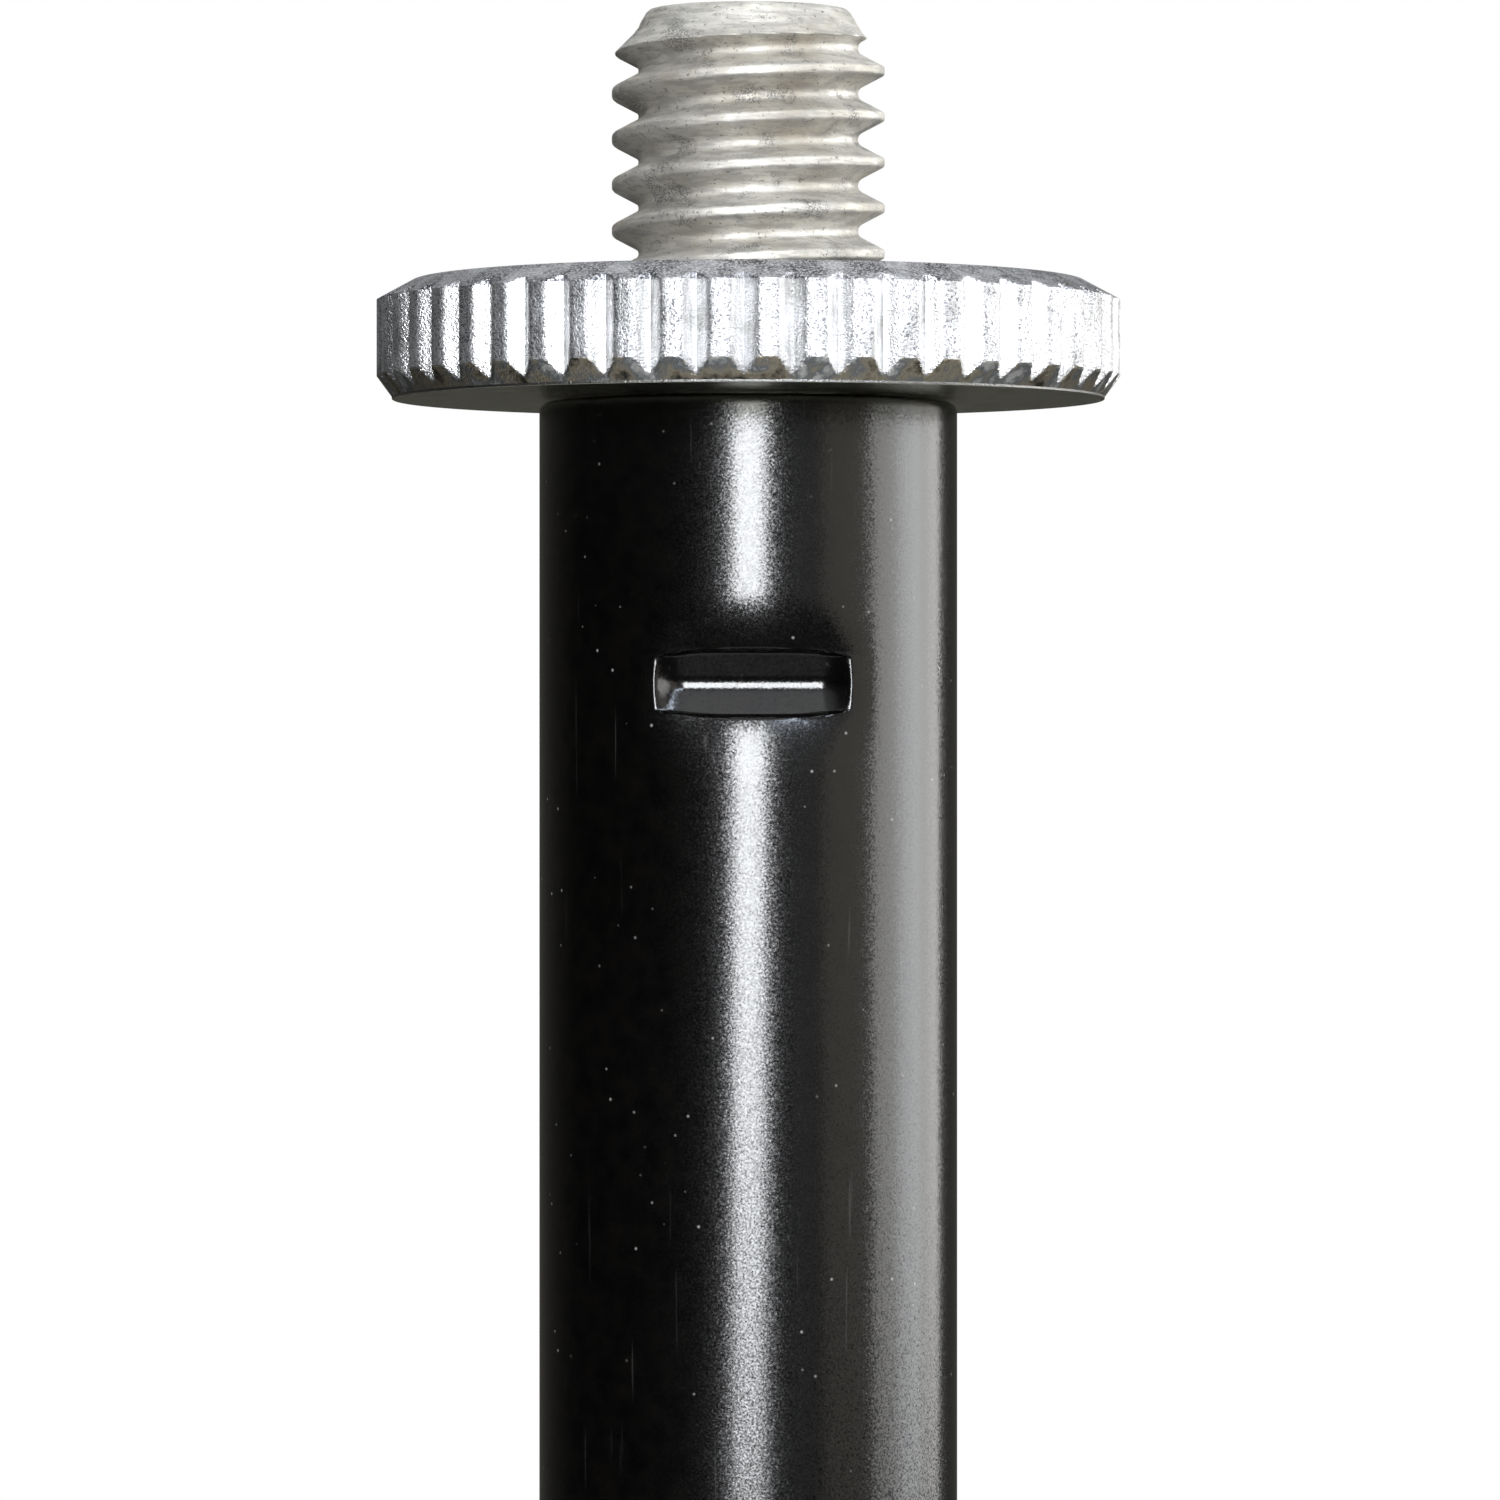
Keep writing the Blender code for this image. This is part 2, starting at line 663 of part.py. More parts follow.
def build_sleeve(finish, parent):
    """The flutes run from the lower rim to the taper, where they fade out."""
    low = -CLUTCH_FLANGE_BELOW + SLIP_GAP
    nose = CLUTCH_NOSE_RADIUS + SLIP_GAP
    ceiling = SLEEVE_TOP - SLEEVE_TOP_WALL
    mouth = UPPER_RADIUS + CLUTCH_THROAT_GAP
    ring_seat = GUIDE_RING_RADIUS + SLIP_GAP
    ring_floor = SLEEVE_TOP + GUIDE_RING_PROUD - GUIDE_RING_HEIGHT - SLIP_GAP
    flute_low = low + SLEEVE_RIM
    flute_high = SLEEVE_TOP - SLEEVE_TAPER_HEIGHT
    edge = SLEEVE_RIM / 3
    columns = flute_columns()
    rings = [
        ring_points(columns, SLEEVE_RADIUS - edge, low, 0.0),
        ring_points(columns, SLEEVE_RADIUS, low + edge, 0.0),
        ring_points(columns, SLEEVE_RADIUS, flute_low, 0.0),
        ring_points(columns, SLEEVE_RADIUS, flute_low + FLUTE_DEPTH),
        ring_points(columns, SLEEVE_RADIUS, flute_high),
        ring_points(columns, SLEEVE_TOP_RADIUS + edge, SLEEVE_TOP - edge, 0.0),
        ring_points(columns, SLEEVE_TOP_RADIUS, SLEEVE_TOP, 0.0),
    ]
    sleeve = add_object("clutch_sleeve", ring_stack_mesh("clutch_sleeve", rings), finish, parent)
    bore = [
        (0.0, low - CUTTER_OVERRUN),
        (nose, low - CUTTER_OVERRUN),
        (nose, ceiling),
        (mouth, ceiling),
        (mouth, ring_floor),
        (ring_seat, ring_floor),
        (ring_seat, SLEEVE_TOP + CUTTER_OVERRUN),
        (0.0, SLEEVE_TOP + CUTTER_OVERRUN),
    ]
    cutter = add_object("sleeve_bore", turned_mesh("sleeve_bore", bore), None, parent)
    add_boolean(sleeve, hide_helper(cutter), "DIFFERENCE")


def build_guide_ring(finish, parent):
    top = SLEEVE_TOP + GUIDE_RING_PROUD
    base = top - GUIDE_RING_HEIGHT
    bore = UPPER_RADIUS + SLIP_GAP
    edge = GUIDE_RING_PROUD * 0.75
    profile = [
        (bore, base),
        (GUIDE_RING_RADIUS, base),
        (GUIDE_RING_RADIUS, top - edge),
        (GUIDE_RING_RADIUS - edge, top),
        (bore + edge / 2, top),
        (bore, top - edge / 2),
    ]
    add_object("guide_ring", turned_mesh("guide_ring", profile, SIDES, closed=True), finish, parent)


# Hub


def fork_outline():
    """Side view of one fork: a web from the hub that ends in a round ear about the pivot."""
    inner = (HUB_RADIUS + LOWER_RADIUS + SLIP_GAP) / 2
    center = (PIVOT_RADIUS, PIVOT_HEIGHT)
    low = (inner, FORK_BOTTOM)
    high = (inner, FORK_TOP)
    start = tangent_angle_deg(low, center, EAR_RADIUS, 1)
    end = tangent_angle_deg(high, center, EAR_RADIUS, -1)
    if start > end:
        start -= 360
    return [low, *arc(*center, EAR_RADIUS, start, end, 9), high]


def channel_outline():
    """The space that a leg's root turns in: a roof along the open leg, open below and outward."""
    reach = EAR_RADIUS + CUTTER_OVERRUN
    roof_x = PIVOT_RADIUS + CHANNEL_RADIUS * math.sin(LEG_SLOPE)
    roof_z = PIVOT_HEIGHT + CHANNEL_RADIUS * math.cos(LEG_SLOPE)
    low = FORK_BOTTOM - CUTTER_OVERRUN
    return [
        (roof_x + reach * math.cos(LEG_SLOPE), roof_z - reach * math.sin(LEG_SLOPE)),
        *arc(PIVOT_RADIUS, PIVOT_HEIGHT, CHANNEL_RADIUS, 90 - LEG_SLOPE_DEG, 180, 8),
        (PIVOT_RADIUS - CHANNEL_RADIUS, low),
        (roof_x + reach * math.cos(LEG_SLOPE), low),
    ]


def build_hub(finish, parent):
    cap_recess = CAP_RADIUS + SLIP_GAP
    bolt_recess = WASHER_RADIUS + SLIP_GAP * 2
    socket = LOWER_RADIUS + SLIP_GAP
    cap_recess_top = CAP_THICKNESS + SLIP_GAP
    profile = [
        (cap_recess, 0.0),
        (HUB_RADIUS - HUB_EDGE, 0.0),
        (HUB_RADIUS, HUB_EDGE),
        (HUB_RADIUS, HUB_HEIGHT - HUB_TAPER_HEIGHT),
        (HUB_TOP_RADIUS, HUB_HEIGHT - HUB_EDGE),
        (HUB_TOP_RADIUS - HUB_EDGE, HUB_HEIGHT),
        (socket, HUB_HEIGHT),
        (socket, SOCKET_FLOOR),
        (BOLT_RADIUS + SLIP_GAP, SOCKET_FLOOR),
        (BOLT_RADIUS + SLIP_GAP, BOLT_RECESS_TOP),
        (bolt_recess, BOLT_RECESS_TOP),
        (bolt_recess, cap_recess_top),
        (cap_recess, cap_recess_top),
    ]
    hub = add_object("hub", turned_mesh("hub", profile, SIDES, closed=True), finish, parent)
    for i, turn in enumerate(leg_azimuths()):
        fork = add_object(f"fork_{i + 1}", outline_mesh("fork", fork_outline(), FORK_WIDTH), None, parent)
        add_bevel(fork, FORK_EDGE)
        channel = add_object(
            f"leg_channel_{i + 1}", outline_mesh("leg_channel", channel_outline(), CHANNEL_WIDTH), None, parent
        )
        bore_length = FORK_WIDTH + 2 * CUTTER_OVERRUN
        bore = add_object(
            f"pin_bore_{i + 1}", cross_pin_mesh("pin_bore", PIN_RADIUS + SLIP_GAP, bore_length), None, parent
        )
        bore.data.transform(Matrix.Translation((PIVOT_RADIUS, 0.0, PIVOT_HEIGHT)))
        for helper, operation in ((fork, "UNION"), (channel, "DIFFERENCE"), (bore, "DIFFERENCE")):
            helper.rotation_euler = (0.0, 0.0, turn)
            add_boolean(hub, hide_helper(helper), operation)


def cross_pin_mesh(name, radius, length):
    """A plain cylinder along Y about the origin."""
    profile = [(0.0, -length / 2), (radius, -length / 2), (radius, length / 2), (0.0, length / 2)]
    mesh = turned_mesh(name, profile, PIN_SIDES)
    mesh.transform(Matrix.Rotation(math.radians(90), 4, "X"))
    return mesh


def leg_azimuths():
    return [math.radians(FIRST_LEG_DEG + 360 * i / LEG_COUNT) for i in range(LEG_COUNT)]


def build_bolt(finish, parent):
    """Washer under the hub's floor, hexagon head under the washer, shaft up into the column's plug."""
    washer_top = BOLT_RECESS_TOP - SLIP_GAP
    washer_base = washer_top - WASHER_THICKNESS
    hole = BOLT_RADIUS + SLIP_GAP
    washer = [
        (hole, washer_base),
        (WASHER_RADIUS, washer_base),
        (WASHER_RADIUS, washer_top),
        (hole, washer_top),
    ]
    add_object("hub_washer", turned_mesh("hub_washer", washer, INNER_SIDES, closed=True), finish, parent)

    head_top = washer_base - SEAT_GAP
    head_base = head_top - BOLT_HEAD_HEIGHT
    shaft_top = head_top + BOLT_LENGTH
    edge = BOLT_RADIUS / 5
    shaft = [
        (0.0, head_top - BOLT_HEAD_HEIGHT / 2),
        (BOLT_RADIUS, head_top - BOLT_HEAD_HEIGHT / 2),
        (BOLT_RADIUS, shaft_top - edge),
        (BOLT_RADIUS - edge, shaft_top),
        (0.0, shaft_top),
    ]
    corner = BOLT_HEAD_ACROSS_FLATS / math.sqrt(3)
    head = [(0.0, head_base), (corner, head_base), (corner, head_top), (0.0, head_top)]
    bolt = add_object("hub_bolt", turned_mesh("hub_bolt", shaft, PIN_SIDES), finish, parent)
    head_helper = add_object("bolt_head", turned_mesh("bolt_head", head, 6), None, parent)
    add_boolean(bolt, hide_helper(head_helper), "UNION")


def build_hub_cap(finish, parent):
    """A plastic disc in the hub's underside, with a low spigot that centres it."""
    profile = [
        (0.0, 0.0),
        (CAP_RADIUS - CAP_EDGE, 0.0),
        (CAP_RADIUS, CAP_EDGE),
        (CAP_RADIUS, CAP_THICKNESS),
        (CAP_SPIGOT_RADIUS, CAP_THICKNESS),
        (CAP_SPIGOT_RADIUS, CAP_THICKNESS + CAP_SPIGOT_HEIGHT),
        (0.0, CAP_THICKNESS + CAP_SPIGOT_HEIGHT),
    ]
    add_object("hub_cap", turned_mesh("hub_cap", profile), finish, parent)


# Legs


def build_pin(number, finish, parent):
    """A riveted pin with a domed head outside each ear."""
    head_start = FORK_WIDTH / 2 + SEAT_GAP
    dome = PIN_HEAD_HEIGHT / 2
    half = [
        (PIN_RADIUS, head_start),
        (PIN_HEAD_RADIUS, head_start),
        (PIN_HEAD_RADIUS, head_start + dome),
        (PIN_HEAD_RADIUS - dome, head_start + PIN_HEAD_HEIGHT),
        (0.0, head_start + PIN_HEAD_HEIGHT),
    ]
    profile = [(radius, -height) for radius, height in reversed(half)] + half
    mesh = turned_mesh(f"leg_pin_{number}", profile, PIN_SIDES)
    mesh.transform(Matrix.Rotation(math.radians(90), 4, "X"))
    add_object(f"leg_pin_{number}", mesh, finish, parent)


def build_leg_root(number, finish, parent):
    """A flat tongue, round about the pivot, with a spigot that fills the leg tube's end."""
    outline = [
        (ROOT_LENGTH, -ROOT_RADIUS),
        (ROOT_LENGTH, ROOT_RADIUS),
        *arc(0.0, 0.0, ROOT_RADIUS, 90, 270, 10),
    ]
    root = add_object(f"leg_root_{number}", outline_mesh("leg_root", outline, ROOT_WIDTH), finish, parent)
    add_bevel(root, ROOT_EDGE)
    radius = LEG_BORE - SLIP_GAP
    end = ROOT_LENGTH + SPIGOT_LENGTH
    profile = [
        (0.0, ROOT_LENGTH / 2),
        (radius - SPIGOT_CHAMFER, ROOT_LENGTH / 2),
        (radius - SPIGOT_CHAMFER, ROOT_LENGTH - SPIGOT_CHAMFER),
        (radius, ROOT_LENGTH - SPIGOT_CHAMFER),
        (radius, end - SPIGOT_CHAMFER),
        (radius - SPIGOT_CHAMFER, end),
        (0.0, end),
    ]
    spigot_mesh = align_to_leg(turned_mesh("root_spigot", profile, LEG_SIDES))
    spigot = add_object(f"root_spigot_{number}", spigot_mesh, None, parent)
    bore_mesh = cross_pin_mesh("root_bore", PIN_RADIUS + SLIP_GAP, ROOT_WIDTH + 2 * CUTTER_OVERRUN)
    bore = add_object(f"root_bore_{number}", bore_mesh, None, parent)
    add_boolean(root, hide_helper(spigot), "UNION")
    add_boolean(root, hide_helper(bore), "DIFFERENCE")


def build_leg_tube(number, finish, parent):
    radius = LEG_TUBE_DIAMETER / 2
    profile = [
        (LEG_BORE, LEG_TUBE_START),
        (radius, LEG_TUBE_START),
        (radius, LEG_TUBE_END),
        (LEG_BORE, LEG_TUBE_END),
    ]
    mesh = align_to_leg(turned_mesh(f"leg_tube_{number}", profile, LEG_SIDES, closed=True))
    add_object(f"leg_tube_{number}", mesh, finish, parent)


def floor_below_pivot():
    """How far the floor lies below the pivot: the rounded foot's lowest point, less the sole's cut."""
    along = FOOT_END - FOOT_ROUNDING
    across = FOOT_RADIUS - FOOT_ROUNDING
    lowest = along * math.sin(LEG_SLOPE) + across * math.cos(LEG_SLOPE) + FOOT_ROUNDING
    return lowest - SOLE_CUT


def foot_reach(turn_deg):
    """How far a foot reaches from the column in a level direction at an angle to its leg."""
    turn = math.cos(math.radians(turn_deg))
    along = (FOOT_END - FOOT_ROUNDING) * math.cos(LEG_SLOPE) * turn
    across = (FOOT_RADIUS - FOOT_ROUNDING) * math.sqrt(1 - (math.cos(LEG_SLOPE) * turn) ** 2)
    return PIVOT_RADIUS * turn + along + across + FOOT_ROUNDING


def column_offset():
    """Moves the column back or forth until the feet reach equally far to both sides of the origin."""
    return (foot_reach(60.0) - foot_reach(0.0)) / 2


def foot_profile():
    """A boot over the tube's end: ribbed at its mouth, swelling to a thick rounded end."""
    bore = LEG_TUBE_DIAMETER / 2 + SLIP_GAP
    mouth = LEG_TUBE_END - FOOT_GRIP
    ribs = []
    for i in range(FOOT_RIB_COUNT):
        start = mouth + i * FOOT_RIB_SPACING
        ribs += [
            (FOOT_MOUTH_RADIUS, start),
            (FOOT_MOUTH_RADIUS, start + FOOT_RIB_WIDTH),
            (FOOT_MOUTH_RADIUS - FOOT_GROOVE_DEPTH, start + (FOOT_RIB_WIDTH + FOOT_RIB_SPACING) / 2),
        ]
    body = mouth + FOOT_RIB_COUNT * FOOT_RIB_SPACING
    rounding = arc(FOOT_RADIUS - FOOT_ROUNDING, FOOT_END - FOOT_ROUNDING, FOOT_ROUNDING, 0, 90, 3)
    return [
        (0.0, LEG_TUBE_END + SLIP_GAP),
        (bore, LEG_TUBE_END + SLIP_GAP),
        (bore, mouth),
        *ribs,
        (FOOT_MOUTH_RADIUS, body),
        *rounding,
        (0.0, FOOT_END),
    ]


def build_foot(number, finish, parent):
    """The sole is cut level with the floor, which the leg's slope puts at an angle to the boot."""
    mesh = align_to_leg(turned_mesh(f"foot_{number}", foot_profile(), LEG_SIDES))
    foot = add_object(f"foot_{number}", mesh, finish, parent)
    size = FOOT_GRIP + FOOT_END_WALL
    bm = bmesh.new()
    bmesh.ops.create_cube(bm, size=2 * size)
    cutter = add_object(f"sole_cutter_{number}", mesh_from(bm, "sole_cutter"), None, parent)
    level = Matrix.Rotation(-LEG_SLOPE, 4, "Y")
    drop = Vector((FOOT_END * math.cos(LEG_SLOPE), 0.0, -floor_below_pivot() - size))
    cutter.matrix_local = level @ Matrix.Translation(drop)
    add_boolean(foot, hide_helper(cutter), "DIFFERENCE")


# The whole stand


def clear_scene():
    for item in list(bpy.data.objects):
        bpy.data.objects.remove(item)


def build_stand():
    base = add_empty("hub_origin", (0.0, column_offset(), floor_below_pivot() - PIVOT_HEIGHT))
    build_hub(CASTING_PAINT, base)
    build_hub_cap(BLACK_NYLON, base)
    build_bolt(PLAIN_STEEL, base)

    column = add_empty("column_base", (0.0, 0.0, LOWER_TUBE_BASE), parent=base)
    build_column(TUBE_PAINT, PLAIN_STEEL, column)

    clutch = add_empty("clutch_origin", (0.0, 0.0, LOWER_TUBE_LENGTH), parent=column)
    build_clutch_body(CASTING_PAINT, clutch)
    build_collet(NATURAL_NYLON, clutch)
    build_sleeve(BLACK_NYLON, clutch)
    build_guide_ring(BLACK_NYLON, clutch)

    extension = add_empty("extension_end", (0.0, 0.0, UPPER_TUBE_TOP), parent=base)
    build_upper_tube(TUBE_PAINT, extension)
    build_guide_bush(NATURAL_NYLON, extension)
    build_stud(STUD_ZINC, extension)
    build_nut(NUT_ZINC, extension)

    for i, azimuth in enumerate(leg_azimuths()):
        number = i + 1
        out = Matrix.Rotation(azimuth, 4, "Z") @ Vector((PIVOT_RADIUS, 0.0, PIVOT_HEIGHT))
        pivot = add_empty(f"leg_pivot_{number}", out, (0.0, 0.0, azimuth), base)
        build_pin(number, PLAIN_STEEL, pivot)
        leg = add_empty(f"leg_axis_{number}", (0.0, 0.0, 0.0), (0.0, LEG_SLOPE, 0.0), pivot)
        build_leg_root(number, CASTING_PAINT, leg)
        build_leg_tube(number, TUBE_PAINT, leg)
        build_foot(number, BLACK_RUBBER, leg)


clear_scene()
build_stand()
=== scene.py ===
"""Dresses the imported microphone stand: finer pieces, materials, light and the photo's camera."""
import math

import bmesh
import bpy
from mathutils import Matrix, Vector


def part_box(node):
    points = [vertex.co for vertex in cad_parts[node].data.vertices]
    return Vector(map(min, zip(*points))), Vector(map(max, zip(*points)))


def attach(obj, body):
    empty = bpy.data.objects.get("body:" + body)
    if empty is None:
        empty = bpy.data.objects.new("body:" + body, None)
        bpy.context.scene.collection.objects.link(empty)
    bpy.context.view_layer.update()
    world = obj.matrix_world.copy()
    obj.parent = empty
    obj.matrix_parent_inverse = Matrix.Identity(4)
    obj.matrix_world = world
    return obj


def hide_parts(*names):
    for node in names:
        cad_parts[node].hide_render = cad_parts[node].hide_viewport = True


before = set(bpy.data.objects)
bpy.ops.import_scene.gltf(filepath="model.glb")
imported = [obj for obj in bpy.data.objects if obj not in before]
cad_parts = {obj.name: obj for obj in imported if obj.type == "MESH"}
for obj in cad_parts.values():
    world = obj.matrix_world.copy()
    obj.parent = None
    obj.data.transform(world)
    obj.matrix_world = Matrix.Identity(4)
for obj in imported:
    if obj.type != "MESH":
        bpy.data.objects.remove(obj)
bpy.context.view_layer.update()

MM = 0.001
tube_low, tube_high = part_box("upper_tube")
AXIS = Vector(((tube_low.x + tube_high.x) / 2, (tube_low.y + tube_high.y) / 2, 0.0))
TUBE_TOP = tube_high.z
TUBE_RADIUS = (tube_high.x - tube_low.x) / 2
NUT_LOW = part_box("lock_nut")[0].z
NUT_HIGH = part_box("lock_nut")[1].z
STUD_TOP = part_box("threaded_stud")[1].z
HUB_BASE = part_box("hub")[0].z
HUB_PLACE = Matrix.Translation((AXIS.x, AXIS.y, HUB_BASE))
COLUMN_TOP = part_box("lower_tube")[1].z
COLUMN_PLACE = Matrix.Translation((AXIS.x, AXIS.y, COLUMN_TOP))

# Sizes of the lock nut, which its material needs too
NUT_HEIGHT = NUT_HIGH - NUT_LOW
NUT_RADIUS = 12.9 * MM
NUT_BORE = 5.0125 * MM
KNURLS = 50
KNURL_DEPTH = 0.43 * MM
KNURL_WIDTH = 0.94 * MM
KNURL_PHASE = math.radians(-90.6)
KNURL_ROUNDNESS = 1.25
# Its two chamfers, measured in from the rim and along the axis
TOP_WIDTH = 1.25 * MM
TOP_HEIGHT = 0.68 * MM
BOTTOM_WIDTH = 0.60 * MM
BOTTOM_HEIGHT = 0.82 * MM
RIM_LAND = 0.09 * MM
RIM_ROUNDING = 0.02 * MM
TOP_EDGE = 0.01 * MM
BORE_CHAMFER_LOW = 0.3 * MM
BORE_CHAMFER_HIGH = 0.4 * MM


# Mesh building

SHARP_FROM = math.radians(35.0)


def new_object(name, data):
    obj = bpy.data.objects.new(name, data)
    bpy.context.scene.collection.objects.link(obj)
    return obj


def add_piece(name, mesh, material, body, replaced):
    """A piece of the stand that rides on a body and takes its finish from a slot."""
    obj = new_object(name, mesh)
    mesh.materials.append(material)
    mesh.shade_smooth()
    mesh.set_sharp_from_angle(angle=SHARP_FROM)
    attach(obj, body)
    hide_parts(*replaced)


def rings_mesh(name, rings, bored=False):
    """Joins rings of points. The ends get caps, or join each other in a bored piece."""
    count = len(rings[0])
    points = [point for ring in rings for point in ring]
    faces = []
    total = len(rings)
    for i in range(total if bored else total - 1):
        k = (i + 1) % total
        for j in range(count):
            n = (j + 1) % count
            faces.append((i * count + j, i * count + n, k * count + n, k * count + j))
    if not bored:
        faces.append(tuple(reversed(range(count))))
        faces.append(tuple(range((total - 1) * count, total * count)))
    mesh = bpy.data.meshes.new(name)
    mesh.from_pydata(points, [], faces)
    bm = bmesh.new()
    bm.from_mesh(mesh)
    bmesh.ops.recalc_face_normals(bm, faces=bm.faces)
    bm.to_mesh(mesh)
    bm.free()
    return mesh


def rounded(points, radius, closed=True, steps=3):
    """Rounds the corners of a line of points, which may carry more values than two."""
    points = [Vector(point) for point in points]
    count = len(points)
    result = []
    for i, corner in enumerate(points):
        if not closed and i in (0, count - 1):
            result.append(corner)
            continue
        before = points[i - 1] - corner
        after = points[(i + 1) % count] - corner
        cut = min(radius, before.length * 0.49, after.length * 0.49)
        start = corner + before.normalized() * cut
        end = corner + after.normalized() * cut
        for j in range(steps + 1):
            t = j / steps
            result.append(start * (1 - t) ** 2 + corner * 2 * t * (1 - t) + end * t * t)
    return result


def arc(center, radius, start_deg, end_deg, steps):
    """Points along an arc, both ends included."""
    points = []
    for i in range(steps + 1):
        turn = math.radians(start_deg + (end_deg - start_deg) * i / steps)
        points.append((center[0] + radius * math.cos(turn), center[1] + radius * math.sin(turn)))
    return points


def full_turn(sides, start=0.0):
    """Angles all the way round, evenly spaced."""
    return [start + 2 * math.pi * i / sides for i in range(sides)]


def placed(place, radius, turn, height):
    """A point given by its radius, turn and height, in the frame of the place."""
    return place @ Vector((radius * math.cos(turn), radius * math.sin(turn), height))


def turned_mesh(name, profile, place, sides=96, bored=True):
    """Turns (radius, height) points about Z, then puts the result in its place."""
    turns = full_turn(sides)
    rings = [[placed(place, radius, t, height) for t in turns] for radius, height in profile]
    return rings_mesh(name, rings, bored)


def extruded_mesh(name, outline, width, place):
    """A closed (x, z) outline as a slab across Y, half of the width to each side."""
    half = width / 2
    rings = [[place @ Vector((x, y, z)) for x, z in outline] for y in (-half, half)]
    return rings_mesh(name, rings)


def carve(mesh, steps, finishing=()):
    """The mesh after joining (UNION) or cutting away (DIFFERENCE) others, and after modifiers."""
    work = new_object("work", mesh)
    helpers = []
    for operation, helper_mesh in steps:
        helper = new_object("helper", helper_mesh)
        helpers.append(helper)
        modifier = work.modifiers.new(operation, "BOOLEAN")
        modifier.operation = operation
        modifier.solver = "EXACT"
        modifier.object = helper
    for kind, settings in finishing:
        modifier = work.modifiers.new(kind, kind)
        for key, value in settings.items():
            setattr(modifier, key, value)
    shaped = work.evaluated_get(bpy.context.evaluated_depsgraph_get())
    result = bpy.data.meshes.new_from_object(shaped)
    for obj in (work, *helpers):
        bpy.data.objects.remove(obj)
    return result


def around(radius, angle, z):
    """A point about the column's axis."""
    return (AXIS.x + radius * math.cos(angle), AXIS.y + radius * math.sin(angle), z)


def circle(radius, z, angles):
    """Points about the column's axis, all at one height."""
    return [around(radius, angle, z) for angle in angles]


def spaced(low, high, step):
    """Values from low to high, both included, no further apart than the step."""
    count = max(1, math.ceil((high - low) / step - 1e-6))
    return [low + (high - low) * i / count for i in range(count + 1)]


def smooth_min(first, second, rounding):
    """The lower of two values, rounded where they cross."""
    share = max(rounding - abs(first - second), 0.0) / rounding
    return min(first, second) - share * share * rounding / 4


def clamped(value):
    return min(max(value, 0.0), 1.0)


def eased(value):
    """A smooth step from 0 to 1."""
    share = clamped(value)
    return share * share * (3 - 2 * share)


# Materials


